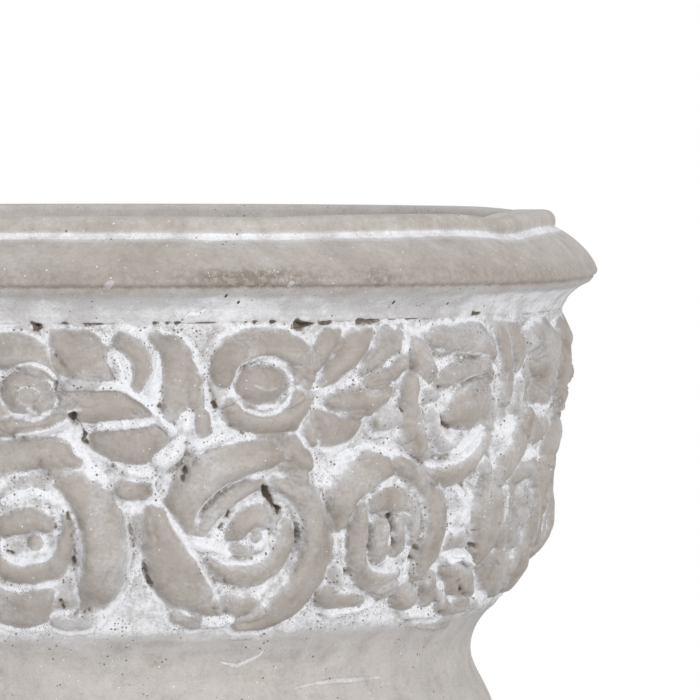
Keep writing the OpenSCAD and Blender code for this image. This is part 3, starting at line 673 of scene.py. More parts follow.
# %% The field and how it is read
# The side of a cell in mm, where the field begins, and how many cells it has
CELL = 0.25
FIRST_ALONG, FIRST_DROP = -42.0, 19.0
COLUMNS, ROWS = int(round(TAU * TAPE_R / REPEATS / CELL)), 344


def window(points, margin):
    """The field's cells within a margin of some points: an index into the field, which wraps round
    at the repeat's end, and the cells' places along the tape and down the pot."""
    p = np.array([q[:3] for q in points], float)
    first = np.array([FIRST_ALONG, FIRST_DROP])
    low = np.floor((p[:, :2] - p[:, 2:3] - margin).min(0) / CELL - first / CELL)
    high = np.ceil((p[:, :2] + p[:, 2:3] + margin).max(0) / CELL - first / CELL)
    columns = np.arange(int(low[0]), int(high[0]) + 1)
    rows = np.arange(max(0, int(low[1])), min(ROWS, int(high[1]) + 1))
    along, drop = np.meshgrid(FIRST_ALONG + columns * CELL, FIRST_DROP + rows * CELL)
    return np.ix_(rows, columns % COLUMNS), along, drop


def read(field, along, drop):
    """The field's value at any place, blended between its four nearest cells."""
    u = np.mod((along - FIRST_ALONG) / CELL, COLUMNS)
    v = np.clip((drop - FIRST_DROP) / CELL, 0, ROWS - 1.001)
    i, j = np.floor(u).astype(int) % COLUMNS, np.floor(v).astype(int)
    fu, fv = u - np.floor(u), v - np.floor(v)
    k = (i + 1) % COLUMNS
    return ((field[j, i] * (1 - fu) + field[j, k] * fu) * (1 - fv)
            + (field[j + 1, i] * (1 - fu) + field[j + 1, k] * fu) * fv)


def soften(field, width):
    """Blur by a bell of the given width in mm, first along the tape and then down the pot."""
    taps = int(np.ceil(2.5 * width / CELL))
    weights = np.exp(-((np.arange(-taps, taps + 1) * CELL / width) ** 2) / 2)
    weights = weights / weights.sum()
    wide = sum(w * np.roll(field, k, 1) for k, w in zip(range(-taps, taps + 1), weights))
    tall = np.pad(wide, ((taps, taps), (0, 0)), mode="edge")
    return sum(w * tall[k:k + ROWS] for k, w in enumerate(weights))


print("field:", ROWS, "rows by", COLUMNS, "columns")

# %% [markdown]
# ## Voids and ground
# Where the frieze meets the cove, the stiff cement didn't fill the mould, and a broken line of dark
# voids stayed open. Each is only a few millimetres long, so a table of dips does it, with no need to
# cut solids away. The ground between the reliefs is lumpy, and every relief stands on a low bed.

# %% Voids along the head of the frieze
# Each void runs from and to a place along the tape, at a drop, with its half height and depth in mm
HEAD_VOIDS = (
    (-15.2, -12.5, 25.0, 1.0, 2.3), (-8.3, -7.2, 24.3, 0.35, 1.2), (-6.2, -5.3, 24.3, 0.35, 1.0),
    (-4.0, 0.5, 24.6, 0.45, 1.0), (12.1, 13.1, 24.3, 0.35, 1.2), (14.5, 15.6, 24.3, 0.35, 1.2),
    (16.8, 18.3, 24.3, 0.3, 1.2), (21.0, 26.8, 24.3, 0.2, 0.8), (29.5, 30.7, 24.3, 0.35, 1.2),
    (32.6, 33.7, 24.3, 0.3, 1.2), (35.0, 36.0, 24.3, 0.3, 1.2), (38.8, 40.5, 24.3, 0.35, 1.3),
    (44.7, 49.6, 25.0, 0.85, 2.1), (51.0, 54.3, 24.8, 0.65, 1.8), (61.2, 67.2, 24.7, 0.55, 1.8),
    (69.5, 79.0, 24.4, 0.25, 0.8), (97.0, 100.4, 23.6, 0.55, 1.3),
)
# A repeat's list of voids begins this far left of where its tape reads zero, in radians
VOIDS_LEFT = 0.31
# The crease between the cove and the frieze: its drop, half height and depth in mm
CREASE_DROP, CREASE_HALF, CREASE_DEPTH = 24.4, 0.26, 0.5


def head_voids(turn, drop):
    """Depth of the voids: for each, a smooth step along its length times a bell down its height."""
    tape = np.mod(turn + VOIDS_LEFT, TAU / REPEATS) - VOIDS_LEFT
    tape = tape * TAPE_R
    depth = np.zeros_like(tape)
    ragged = lumps(turn, drop, 1.2, 27, REPEATS)
    for start, end, level, half, deep in HEAD_VOIDS:
        along = step(-0.5, 0.7, tape - start + 0.5 * ragged) * step(-0.5, 0.7, end - tape + 0.5 * ragged)
        taper = 1.25 - 0.9 * np.clip((tape - start) / (end - start), 0, 1)
        reach = np.maximum(half * taper * (1 + 0.45 * ragged), 0.15)
        depth = np.maximum(depth, deep * along * bump(drop, level - 0.3 * (1 - taper), reach))
    patchy = np.clip(0.5 + 0.9 * lumps(turn, drop * 0.1, 3, 24, REPEATS), 0, 1)
    return np.maximum(depth, CREASE_DEPTH * bump(drop, CREASE_DROP, CREASE_HALF) * patchy)


print("voids in one repeat:", len(HEAD_VOIDS))

# %% Ground and beds
all_along, all_drop = np.meshgrid(FIRST_ALONG + np.arange(COLUMNS) * CELL,
                                  FIRST_DROP + np.arange(ROWS) * CELL)
all_turn = all_along / TAPE_R
# Lumps of five sizes in mm, each with a seed of its own
tiny, fine, middling, slow, drift = (
    lumps(all_turn, all_drop, across, seed, REPEATS)
    for across, seed in ((0.7, 20), (1.3, 21), (3.0, 22), (8.0, 23), (10.0, 26))
)
ground_field = 0.1 + 0.2 * middling + 0.12 * fine + 0.12 * slow
height_field = ground_field.copy()
nearest_field = np.full((len(RELIEFS),) + height_field.shape, OUTSIDE)
for order, relief in enumerate(RELIEFS.values()):
    bed_top, bed = relief["bed"]
    cells, along, drop = window(bed, margin=4)
    depth = inside_stroke(bed, along, drop)[0]
    bed_height = ground_field[cells] + bed_top * step(-2.2, 1.6, depth + 0.5 * middling[cells])
    height_field[cells] = np.maximum(height_field[cells], bed_height)
    nearest_field[order][cells] = np.maximum(nearest_field[order][cells], depth - 1.0)
print("highest bed", short(height_field.max()), "mm")

# %% [markdown]
# ## Raising the strokes
# Pressed clay has steep sides and soft shoulders, and a face that swells a little towards its middle.
# Strokes that overlap merge, and those that only come near keep a narrow crease between them. One
# could sculpt this by hand, but a rule for all strokes is easy to measure against a photograph.

# %% Strokes on the field
# In mm: a traced face grows to the foot of its walls, the walls spread further, the face rounds
# over a shoulder, and a relief's mesh reaches out to its skirt
GROW, SPREAD, SHOULDER, SKIRT = 1.4, 0.8, 5.2, 3.2
# Drops of the lines that close the frieze above and below
HEAD_LINE, FOOT_LINE = 25.6, 96.4
# The foot of the walls, the lift of every face and its fall under the head line, in mm
WALL_FOOT, FACE_LIFT, HEAD_FALL = -0.6, 1.0, 1.5
# The power that rounds a face, and how much higher a stroke that wears limewash stands
ROUNDING, WASHED_RIDGE = 2.7, 0.7

# Every place keeps how deep it lies in its nearest stroke and in the next
best_field = np.full_like(height_field, OUTSIDE)
second_field = np.full_like(height_field, OUTSIDE)
laid = []
for order, relief in enumerate(RELIEFS.values()):
    for top, wiped, points in relief["strokes"]:
        points = pointed(points)
        cells, along, drop = window(points, margin=6)
        flat_top = top + (WASHED_RIDGE if wiped < 0.5 else 0.0)
        depth, crest = inside_stroke(points, along, drop, flat_top, relief["heart"], relief["lean"])
        grow = GROW if wiped > 0.25 else 0.35 * GROW
        depth = depth + grow + 0.22 * middling[cells] + 0.12 * fine[cells]
        belly = max(q[2] for q in points)
        laid.append((order, wiped, cells, depth, crest, flat_top, relief["lean"], belly))
        second_field[cells] = np.maximum(second_field[cells], np.minimum(depth, best_field[cells]))
        best_field[cells] = np.maximum(best_field[cells], depth)

# A crease runs where two strokes are equally near, unless they overlap well
apart_field = (best_field - second_field) / 2 + 4 * step(0.3, 1.3, second_field)
face_field = np.zeros_like(height_field)
smooth_field = np.zeros_like(height_field)
for order, wiped, cells, depth, crest, flat_top, lean, belly in laid:
    edge = np.minimum(depth, apart_field[cells])
    edge = np.minimum(edge, 0.9 * np.minimum(all_drop[cells] - HEAD_LINE, FOOT_LINE - all_drop[cells]))
    solid = edge + SPREAD
    nearest_field[order][cells] = np.maximum(nearest_field[order][cells], depth + SPREAD - GROW)
    share = np.clip(solid / min(SHOULDER, belly + GROW + SPREAD), 0, 1)
    head_fall = HEAD_FALL * (1 - step(26.0, 31.5, all_drop[cells]))
    raised = WALL_FOOT + (crest + FACE_LIFT - head_fall) * (1 - (1 - share) ** ROUNDING)
    raised = raised + 0.28 * slow[cells] + 0.1 * middling[cells]
    higher = (raised > height_field[cells]) & (solid > 0) & (depth >= best_field[cells] - 1.2)
    height_field[cells] = np.where(higher, raised, height_field[cells])
    # The face is wiped bare up to an uneven edge, and keeps a white lip on the heart's side
    towards = (crest - flat_top) / lean if lean else np.zeros_like(crest)
    lip = step(0.4, 1.6, towards) * bump(edge, 0.7, 0.55) * step(-0.6, 0.4, middling[cells] + slow[cells])
    uneven_edge = edge + 0.5 * slow[cells] + 0.4 * middling[cells] + 0.16 * fine[cells]
    face = wiped * step(-0.5, 0.6 + 1.5 * step(0, 0.7, drift[cells]), uneven_edge) * (1 - 0.8 * lip)
    face_field[cells] = np.where(higher, np.maximum(face, 0.02), face_field[cells])
    smooth_field[cells] = np.where(higher, (wiped < 0.25) * step(-0.3, 0.4, edge), smooth_field[cells])
print("strokes:", len(laid), "; highest", short(height_field.max()), "mm")

# %% [markdown]
# ## Lines and slots
# Thin lines are scratched into the petals or drawn on them with limewash, and narrow slots stayed
# open in the casting. They are finer than the strokes, so they are laid over them afterwards.

# %% Lines and slots
line_field = np.zeros_like(height_field)
slot_field = np.zeros_like(height_field)
for relief in RELIEFS.values():
    for rise, white, points in relief["lines"]:
        cells, along, drop = window(points, margin=2)
        line = step(-0.3, 0.25, inside_stroke(points, along, drop)[0] + 0.1 * fine[cells])
        height_field[cells] += rise * line
        line_field[cells] = np.maximum(line_field[cells], white * line)
    for deep, points in relief["slots"]:
        cells, along, drop = window(points, margin=3)
        depth = inside_stroke(points, along, drop)[0] + 0.32 * fine[cells]
        depth = depth + 0.34 * tiny[cells] + 0.2 * middling[cells]
        slot_field[cells] = np.maximum(slot_field[cells], (0.7 * deep + 0.3) * step(-0.45, 0.8, depth))
slot_field = np.maximum(slot_field, head_voids(all_turn, all_drop))
print("deepest slot", short(slot_field.max()), "mm")

# %% [markdown]
# ## Limewash on the frieze
# Limewash stays where the skin is hollow or steep and is wiped off where it swells. So its layer is
# read from the heights: a place is hollow by as much as the broadly softened height lies above the
# finely softened one, and the slope says which way each wall faces. Walls that face right or up are
# made whiter in this layer and the others darker: painted light and shade from the upper right.

# %% Limewash on the frieze
# The lowest height of the skin in mm, so that slots stay within the band's wall
LOWEST = -1.1

smooth_height = soften(height_field, 0.5)
hollow = soften(height_field, 1.3) - smooth_height
slope_down, slope_along = np.gradient(smooth_height, CELL)
steep = np.hypot(slope_down, slope_along)
turned_right = np.clip(0.5 * slope_down - slope_along, -1.2, 1.2)
# Stretches of the tape: the ground is mellower at the far right, and the right side is whiter
mellow = step(94, 112, all_along) * (1 - step(139, 146, all_along))
right_side = step(50, 85, all_along) * (1 - step(118, 132, all_along))

# The turned_right terms below paint light on walls facing the upper right and shade on the others
ground_wash_and_light = 0.72 + 0.5 * np.clip(hollow / 0.35, -1, 0.7) + 0.26 * slow + 0.2 * middling + 0.12 * fine
ground_wash_and_light = ground_wash_and_light - 0.22 * mellow + 0.16 * turned_right
wiped_off = (0.84 - 0.08 * mellow - 0.18 * slow - 0.08 * middling) * face_field
face_wash_and_light = 1.0 - wiped_off + 0.2 * np.clip(hollow / 0.4, -0.5, 1)
face_wash_and_light = face_wash_and_light + 0.5 * step(0.7, 2.0, steep) + 0.05 * slow
face_wash_and_light = face_wash_and_light + 0.2 * turned_right * (1 - 0.6 * face_field) + 0.05 * (1 - step(0, 60, all_along))
face_wash_and_light = face_wash_and_light + right_side * (0.12 + 0.14 * turned_right)
wash_and_light_field = np.where(face_field == 0, ground_wash_and_light, face_wash_and_light) + 0.25 * smooth_field
wash_and_light_field = np.maximum(np.clip(wash_and_light_field, 0, 1.3), line_field)

# Dirt and painted shade darken the hollows, walls turned away from the upper right get painted
# shade, and slots are painted dark as shade
dirt_and_shade_field = step(0.25, 0.65, hollow + 0.12 * fine + 0.1 * middling) * step(-0.5, 0.5, slow + 0.4 * middling)
turned_away = step(0.5, 1.2, -turned_right + 0.3 * fine) * step(-0.6, 0.4, middling)
dirt_and_shade_field = np.maximum(dirt_and_shade_field, 0.45 * turned_away)
void_shade_field = 0.9 * step(0.4, 2.8, slot_field + 0.5 * fine + 0.3 * tiny)

# Limewash has a crust of its own, and a thin mist of it spreads a little way over the faces
crust = np.clip(wash_and_light_field, 0, 1) * (0.14 * tiny + 0.12 * fine)
height_field = np.maximum(height_field + crust - slot_field, LOWEST)
wash_and_light_field = wash_and_light_field * (1 - 0.6 * step(0.3, 1.2, slot_field))
patchy = np.clip(0.6 + 0.25 * slow + 0.2 * middling + 0.15 * fine, 0.1, 0.9)
wash_and_light_field = np.maximum(wash_and_light_field, soften(np.clip(wash_and_light_field, 0, 1), 1.4) * patchy)
print("highest relief", short(height_field.max()), "mm; share wiped bare", short((wash_and_light_field < 0.4).mean()))


# %% [markdown]
# ## Cutting the frieze into pieces
# Here each rose and each leaf is a piece of its own. A grid of spokes and rings round the relief's
# middle suits its round outline and closes without a seam. Each piece dives under its neighbours
# and into the band, so that no gap shows between pieces.

# %% Outline of a relief
# The search for an outline goes this far along each spoke, lets a relief reach this far into its
# neighbour, both in mm, and evens the outline out over this many spokes on each side
FARTHEST, NEIGHBOUR_MARGIN, SPOKES_ASIDE = 36.0, 1.5, 5


def outline_reach(relief, own, rival, angles):
    """Distance from the middle to the last place on each spoke that is within the skirt of the
    relief's own strokes and nearer to them than to a neighbour's, evened out over the spokes."""
    reach = np.arange(0.0, FARTHEST, CELL)
    a, r = np.meshgrid(angles, reach)
    along = relief["middle"][0] + r * np.cos(a)
    drop = relief["middle"][1] + r * np.sin(a)
    mine = read(own, along, drop)
    wanted = (mine > -SKIRT) & (mine - read(rival, along, drop) > -NEIGHBOUR_MARGIN)
    far = np.where(wanted, r, 0).max(0)
    spread = np.stack([np.roll(far, k) for k in range(-SPOKES_ASIDE, SPOKES_ASIDE + 1)])
    return np.maximum(0.5 * spread.max(0) + 0.5 * spread.mean(0), 1.0)


print("outlines are searched out to", FARTHEST, "mm")

# %% Build the reliefs
# In mm: how far a relief dives under a nearer neighbour and at its skirt
UNDER_NEIGHBOUR, UNDER_SKIRT = 1.5, 1.0
# Heights off the band in mm: the lowest a face goes, its rim, and its flat back
FACE_MIN, RIM_MAX, BACK = -1.3, -0.8, -1.9
# The back's outline as a share of the face's
BACK_SHARE = 0.97


def carve(order, kind, relief):
    """A polar grid over the relief's outline takes its heights from the field, dives under its
    neighbours where they are nearer, is laid on the band, and is closed at its back."""
    own = nearest_field[order]
    rival = np.delete(nearest_field, order, 0).max(0)
    angles = np.linspace(0, TAU, relief["spokes"], endpoint=False)
    reach = outline_reach(relief, own, rival, angles)
    shares = np.linspace(0, 1, relief["rings"] + 1)[1:] ** 0.93
    a, v = np.meshgrid(angles, shares)
    along = relief["middle"][0] + v * reach * np.cos(a)
    drop = relief["middle"][1] + v * reach * np.sin(a)
    mine, theirs = read(own, along, drop), read(rival, along, drop)
    dive = UNDER_NEIGHBOUR * step(0.2, 1.2, theirs - mine) + UNDER_SKIRT * step(1.9, SKIRT, -mine)
    height = np.maximum(read(height_field, along, drop) - dive, FACE_MIN)
    height[-1] = np.minimum(height[-1], RIM_MAX)
    back_along = relief["middle"][0] + BACK_SHARE * reach * np.cos(angles)
    back_drop = relief["middle"][1] + BACK_SHARE * reach * np.sin(angles)
    middle = [np.array([value]) for value in relief["middle"]]

    # Each layer has the field's numbers on the grid, then the back's ring and the two end points
    # On the frieze the wash layer also holds painted light and shade, the stain layer dirt and painted shade,
    # and the void layer painted shade in slots
    layers = {
        name: np.concatenate([read(field, along, drop).ravel(), np.full(len(angles), back), end, [back]])
        for name, field, back, end in (
            ("wash", wash_and_light_field, 1.0, read(wash_and_light_field, *middle)),
            ("void_shade", void_shade_field, 0.0, read(void_shade_field, *middle)),
            ("stain_and_shade", dirt_and_shade_field, 0.0, [0]),
        )
    }
    along, drop = np.vstack([along, back_along]), np.vstack([drop, back_drop])
    height = np.vstack([height, np.full(len(angles), BACK)])
    made = []
    for copy in range(REPEATS):
        shift = copy * TAU / REPEATS
        rings = on_band(along / TAPE_R + shift, drop, height)
        ends = [on_band(middle[0] / TAPE_R + shift, middle[1], lift)
                for lift in (read(height_field, *middle), np.array([BACK]))]
        piece = ring_mesh(f"carved_{kind}_{copy + 1}", rings, *ends, layers)
        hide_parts(f"{kind}_{copy + 1}")
        made.append(piece)
    return made


carved = []
for order, (kind, relief) in enumerate(RELIEFS.items()):
    carved += carve(order, kind, relief)
    show(carved[-1])
print("triangles in all reliefs:", sum(triangles(p) for p in carved))

# %% [markdown]
# ## Turning the pot
# The real pot isn't perfect. Its rim dips a little where the cement settled, the groove wobbles, and
# the casting left open voids along the line where the frieze meets the cove. So the grid is turned
# round the axis and then moved by small soft lumps. Everything moves inwards or down, so that the
# pot stays within its solid, and the band is set back where reliefs cover it.

# %% Unevenness of the pot
# Columns of points round the pot; they are closer together at the front right, where voids are fine
AROUND = 680
even_turns = np.linspace(0, TAU, AROUND, endpoint=False)
turns = np.mod(even_turns - 0.5 * np.sin(even_turns - 0.6), TAU)
turn_grid, drop_grid = np.meshgrid(turns, profile[:, 1])
radius_grid = np.repeat(profile[:, :1], AROUND, 1)
crest_row = int(np.argmin(np.abs(profile[:, 0] - CREST_R) + profile[:, 1]))
outside = np.arange(len(profile)) > crest_row
outer = np.repeat(outside[:, None], AROUND, 1)
# How far the band is set back under the reliefs, in mm, and the drops between which they lie
SETBACK = 1.4
FRIEZE_TOP, FRIEZE_END = 26.2, 99
# From this drop down the foot is left even
EVEN_FOOT = 203
# Dips of the rim: turn and width in degrees, and depth in mm
RIM_DIPS = ((19, 9, 0.35), (59, 6.5, 1.4), (104, 9, 0.7), (236, 10, 0.5), (282, 8, 1.0), (331, 11, 0.3))


def rim_dip(turn):
    """How far the rim sags, in mm: a few bells at uneven turns, summed."""
    angle = np.degrees(np.mod(turn, TAU))
    return sum(depth * bump(angle, middle, width) for middle, width, depth in RIM_DIPS)


sag_share = outer * (1 - step(6.5, 14.4, drop_grid)) + ~outer * (1 - step(4, 40, drop_grid))
sag = rim_dip(turn_grid) * sag_share
nose_sag = outer * bump(drop_grid, 15.5, 6) * 0.75 * bump(np.degrees(turn_grid), 58, 26)
soft = 0.16 * (lumps(turn_grid, drop_grid, 22, 3) - 1) + 0.07 * (lumps(turn_grid, drop_grid, 7, 4) - 1)
groove_wobble = bump(drop_grid, 5.6, 1.6) * outer * 0.35 * lumps(turn_grid, drop_grid * 0.2, 6, 5)
in_frieze = outer * step(20.5, 25, drop_grid) * (1 - step(97, 100, drop_grid))
void_depth = head_voids(turn_grid, drop_grid) * outer
on_frieze = outer & (drop_grid > FRIEZE_TOP) & (drop_grid < FRIEZE_END)
tape_grid = turn_grid * TAPE_R
own_ground = np.where(on_frieze, read(ground_field, tape_grid, drop_grid), 0)
under = np.where(on_frieze, step(-2.6, -1.4, read(nearest_field.max(0), tape_grid, drop_grid)), 0)
uneven = soft * (1 - in_frieze) + own_ground - 0.1 * in_frieze - void_depth - SETBACK * under
uneven = uneven * (drop_grid < EVEN_FOOT) - groove_wobble * 0.4
radius_moved = radius_grid + np.where(outer, uneven, -0.4 * soft)
height = CREST - drop_grid - sag - nose_sag - np.abs(groove_wobble) * 0.5
print("share of the band under reliefs:", short(under[on_frieze].mean()))
print("deepest rim dip", short(sag.max()), "mm; deepest void", short(void_depth.max()), "mm")

# %% [markdown]
# ## Limewash on the pot
# The brush left limewash in the groove and the cove and little on the flare, which stands out and
# was wiped. It changes far more from the rim to the foot than round the pot, so a table over the
# drop is enough. Three layers of numbers go with the points for the finish: how much limewash lies
# there, how stained the cement is together with a painted shadow under the nose, and how much
# painted shade darkens a void.

# %% Limewash on the pot
# How much limewash lies at drops below the crest, from bare cement at 0 to a thick coat at 1
WASH_AT_DROP = (
    (0, 0.36), (1.5, 0.32), (3.2, 0.3), (3.9, 0.95), (4.9, 0.95), (5.7, 0.3), (8, 0.22), (12, 0.12),
    (15.2, 0.04), (17.5, 0.5), (19, 0.88), (21, 0.84), (24, 0.85), (97.6, 0.95), (98.6, 0.55),
    (103, 0.5), (108, 0.56), (130, 0.48), (203, 0.42), (206, 0.6), (212, 0.45),
)
INSIDE_WASH = 0.6
broad = lumps(turn_grid, drop_grid, 16, 8)
streak = lumps(turn_grid, drop_grid * 3, 9, 9)
wash = np.where(outer, np.interp(drop_grid, *zip(*WASH_AT_DROP)), INSIDE_WASH) + 0.07 * broad + 0.07 * streak
in_cove = outer * step(16.5, 19, drop_grid) * (1 - step(23, 25, drop_grid))
wash = wash + 0.22 * in_cove * lumps(turn_grid, drop_grid * 0.4, 26, 25)
# Water seeped out above the nose at two places in front, and here and there behind
angle_grid = np.degrees(turn_grid)
seeped = np.maximum(bump(angle_grid, 16, 7.5), 0.7 * bump(angle_grid, 31, 2.5))
behind = (angle_grid > 95) * (angle_grid < 335)
seeped = np.maximum(seeped, behind * step(0.1, 0.8, lumps(turn_grid, drop_grid * 0.4, 22, 10)))
# The flare darkens towards the nose all round and most where water seeped; the thin dark line just under the
# nose is painted shadow
stain_and_shade = bump(drop_grid, 13.8, 2.0) * np.maximum(1.6 * seeped, 0.4) + 0.6 * bump(drop_grid, 15.9, 0.4)
# Voids are painted dark by their depth: painted shade in the holes
void_shade = np.clip(void_depth / 1.6, 0, 1)

pot_rings = np.stack([radius_moved * np.sin(turn_grid), -radius_moved * np.cos(turn_grid), height], -1) * MM
layers = {"wash": np.append(wash, [0.4, 0.4]), "stain_and_shade": np.append(outer * stain_and_shade, [0, 0]),
          "void_shade": np.append(void_shade, [0, 0])}
pot_ends = [(0, 0, (CREST - drop) * MM) for drop in (FLOOR_DROP, RECESS_DROP)]
pot = ring_mesh("pot_cast", pot_rings, *pot_ends, layers)
print("rings on the pot:", len(pot_rings))

# %% [markdown]
# ## Crumbs and ridges
# Stray bits of cement stuck to the real pot as it set: two crumbs under the nose, a squiggle in the
# cove, and two ridges on the neck where the mould was scratched. Air left small holes in the cove,
# drawn as small lenses whose dark colour is painted shade. Each is a thin closed form laid on the
# surface along its own curve, and joined to the pot.

# %% Crumbs and ridges
# Lift as a share of the half width, limewash, painted shade of an air hole, and the curve as
# (tape, drop, half width)
CRUMBS = (
    (0.6, 0.36, 0, [(0.6, 16.3, 0.6), (1.3, 15.8, 0.9), (2.2, 14.8, 0.8), (2.9, 14.4, 0.4)]),
    (0.6, 0.36, 0, [(39.7, 16.0, 0.6), (40.4, 15.3, 0.75), (40.6, 14.6, 0.5)]),
    (1.3, 1.1, 0, [(18.6, 23.3, 0.45), (19.9, 22.3, 0.7), (21.5, 22.4, 0.6), (23.4, 21.0, 0.45)]),
    (0.6, 0.85, 0, [(33.5, 104.6, 0.3), (36.9, 105.4, 0.5), (39.4, 105.8, 0.65), (42.4, 104.7, 0.6),
                    (45.2, 103.6, 0.5), (46.6, 101.8, 0.3)]),
    (0.6, 0.8, 0, [(56.9, 112.1, 0.5), (63, 111.3, 0.5), (71.3, 111.0, 0.65), (80.1, 111.1, 0.8),
                   (91.0, 111.2, 0.6)]),
    (0.6, 1.0, 1, [(26.6, 18.0, 0.45), (27.1, 18.0, 0.45)]),
    (0.6, 1.0, 1, [(30.0, 19.6, 0.4), (30.5, 19.6, 0.4)]),
    (0.6, 1.0, 1, [(60.4, 18.3, 0.4), (60.9, 18.2, 0.4)]),
    (0.6, 1.0, 1, [(68.8, 20.2, 0.5), (69.4, 20.2, 0.5)]),
    (0.6, 1.0, 1, [(85.6, 20.8, 0.6), (86.5, 20.9, 0.55)]),
)
# How deep a crumb's flank and its tips sink into the pot, and how far it stays inside the nose, in mm
CRUMB_SINK, TIP_SINK, NOSE_MARGIN = 0.15, 0.12, 0.05


def crumb(number, lift, wash, hole_shade, points):
    """A closed form along a curve on the pot. At each point its ring is an oval: the half width
    times cosine across the curve, and the lift times sine outwards, and it thins to both ends."""
    path = spine(points)
    travel = np.gradient(path[:, :2], axis=0)
    travel = travel / np.hypot(travel[:, 0], travel[:, 1])[:, None]
    across = np.stack([-travel[:, 1], travel[:, 0]], -1)
    ends = np.sqrt(np.sin(np.linspace(0.06, 0.94, len(path)) * np.pi))
    half = (path[:, 2] * ends)[:, None]
    around = np.linspace(0, TAU, 12, endpoint=False)
    tape = path[:, :1] + across[:, :1] * half * np.cos(around)
    drop = path[:, 1:2] + across[:, 1:] * half * np.cos(around)
    out = lift * half * np.sin(around) - CRUMB_SINK
    outer_line = profile[outside]

    def place(tape, drop, out):
        """A point off the pot's outer line, in metres."""
        radius = np.minimum(np.interp(drop, outer_line[:, 1], outer_line[:, 0]) + out, NOSE_R - NOSE_MARGIN)
        turn = tape / TAPE_R
        return np.stack([radius * np.sin(turn), -radius * np.cos(turn), CREST - drop], -1) * MM

    tips = [place(q[:1], q[1:2], np.array([-TIP_SINK])) for q in (path[0], path[-1])]
    count = tape.size + 2
    layers = {"wash": np.full(count, wash), "stain_and_shade": np.zeros(count), "void_shade": np.full(count, float(hole_shade))}
    return ring_mesh(f"crumb_{number}", place(tape, drop, out), *tips, layers)


pot = joined([pot] + [crumb(number, *shape) for number, shape in enumerate(CRUMBS)])
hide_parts("pot")
show(pot)

# %% [markdown]
# ## Felt pads
# Each pad is a stamped disc of felt whose cut edge has softened. A small profile turned round its
# own axis gives it that soft edge, and all the pads are one piece, as they are one node.

# %% Felt pads
PADS = 4
PAD_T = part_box("felt_pads")[1].z / MM
PAD_RING_R = FOOT_R - 10
# From the top's edge to the underside, as (radius, height)
pad_profile = np.array([[6.2, PAD_T], [6.4, 1.7], [6.5, 1.2], [6.48, 0.8], [6.3, 0.3], [5.9, 0.05],
                        [4.6, 0], [2.5, 0]])
pad_angles = np.linspace(0, TAU, 56, endpoint=False)


def felt_pad(number):
    """The small profile turned round the pad's own axis; its outer rings wave a little."""
    turn = (number + 0.5) * TAU / PADS
    centre = np.array([PAD_RING_R * np.cos(turn), PAD_RING_R * np.sin(turn)])
    fuzz = 1 - 0.012 * (1 + np.sin(pad_angles * 11 + number)) * (pad_profile[:, :1] > 5)
    x = pad_profile[:, :1] * fuzz * np.cos(pad_angles) + centre[0]
    y = pad_profile[:, :1] * fuzz * np.sin(pad_angles) + centre[1]
    z = np.repeat(pad_profile[:, 1:], len(pad_angles), 1)
    ends = [(*(centre * MM), height * MM) for height in (PAD_T, 0)]
    return ring_mesh(f"pad_{number}", np.stack([x, y, z], -1) * MM, *ends, {})


pads = joined([felt_pad(number) for number in range(PADS)])
pads.name = "felt_pads_cut"
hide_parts("felt_pads")
show(pads)

# %% [markdown]
# ## The cement's finish
# Bare cement is warm grey-beige with clouds of lighter and browner tone, fine grain and a few pale
# specks. Limewash over it is cool white, thick in hollows and thin and greyer where it was wiped,
# with pinholes and finer pores where air came out, coloured dark as painted shade in the holes. One
# material does both: the wash layer on the points says how much limewash lies there, on the frieze
# with painted light and shade from the upper right, and noise breaks up its edge.

# %% Material helpers
def add(tree, kind, inputs=None, **settings):
    """Add a node, set its properties, and link or set its inputs by name or number."""
    node = tree.nodes.new(kind)
    for key, value in settings.items():
        setattr(node, key, value)
    for key, value in (inputs or {}).items():
        if isinstance(value, bpy.types.NodeSocket):
            tree.links.new(value, node.inputs[key])
        else:
            node.inputs[key].default_value = value
    return node


def new_finish(name):
    """A material with nodes: returns it, its tree, its shader and the object's own coordinates."""
    finish = bpy.data.materials.new(name)
    finish.use_nodes = True
    tree = finish.node_tree
    return finish, tree, tree.nodes["Principled BSDF"], add(tree, "ShaderNodeTexCoord").outputs["Object"]


def noise(tree, where, size_mm, detail=3.0, rough=0.55):
    """Noise whose lumps are about size_mm across; returns its value socket."""
    return add(tree, "ShaderNodeTexNoise", {"Vector": where, "Scale": 1000 / size_mm, "Detail": detail,
                                            "Roughness": rough}).outputs["Fac"]


def dots(tree, where, apart_mm):
    """Scattered dots about apart_mm apart: the distance to the nearest, as a share of apart_mm, and
    three random numbers that belong to it."""
    cells = add(tree, "ShaderNodeTexVoronoi", {"Vector": where, "Scale": 1000 / apart_mm, "Randomness": 1.0})
    own = add(tree, "ShaderNodeSeparateColor", {"Color": cells.outputs["Color"]})
    return cells.outputs["Distance"], own.outputs


def maths(tree, operation, *values):
    """One Math node; returns its value socket."""
    return add(tree, "ShaderNodeMath", dict(enumerate(values)), operation=operation).outputs[0]


def total(tree, first, *more):
    """The sum of some values."""
    for value in more:
        first = maths(tree, "ADD", first, value)
    return first


def swing(tree, value, amount):
    """Noise made into a change about zero: the value less a half, times the amount."""
    return maths(tree, "MULTIPLY", maths(tree, "SUBTRACT", value, 0.5), amount)


def blend_colour(tree, share, first, second):
    """Mix two colours by a share; returns the colour socket."""
    mixed = add(tree, "ShaderNodeMix", {"Factor": share, "A": first, "B": second}, data_type="RGBA")
    return mixed.outputs["Result"]


def ramp(tree, value, low, high, out_low=0.0, out_high=1.0):
    """Smooth step of a value from low to high, onto another range."""
    ends = {"Value": value, "From Min": low, "From Max": high, "To Min": out_low, "To Max": out_high}
    return add(tree, "ShaderNodeMapRange", ends, interpolation_type="SMOOTHSTEP").outputs["Result"]


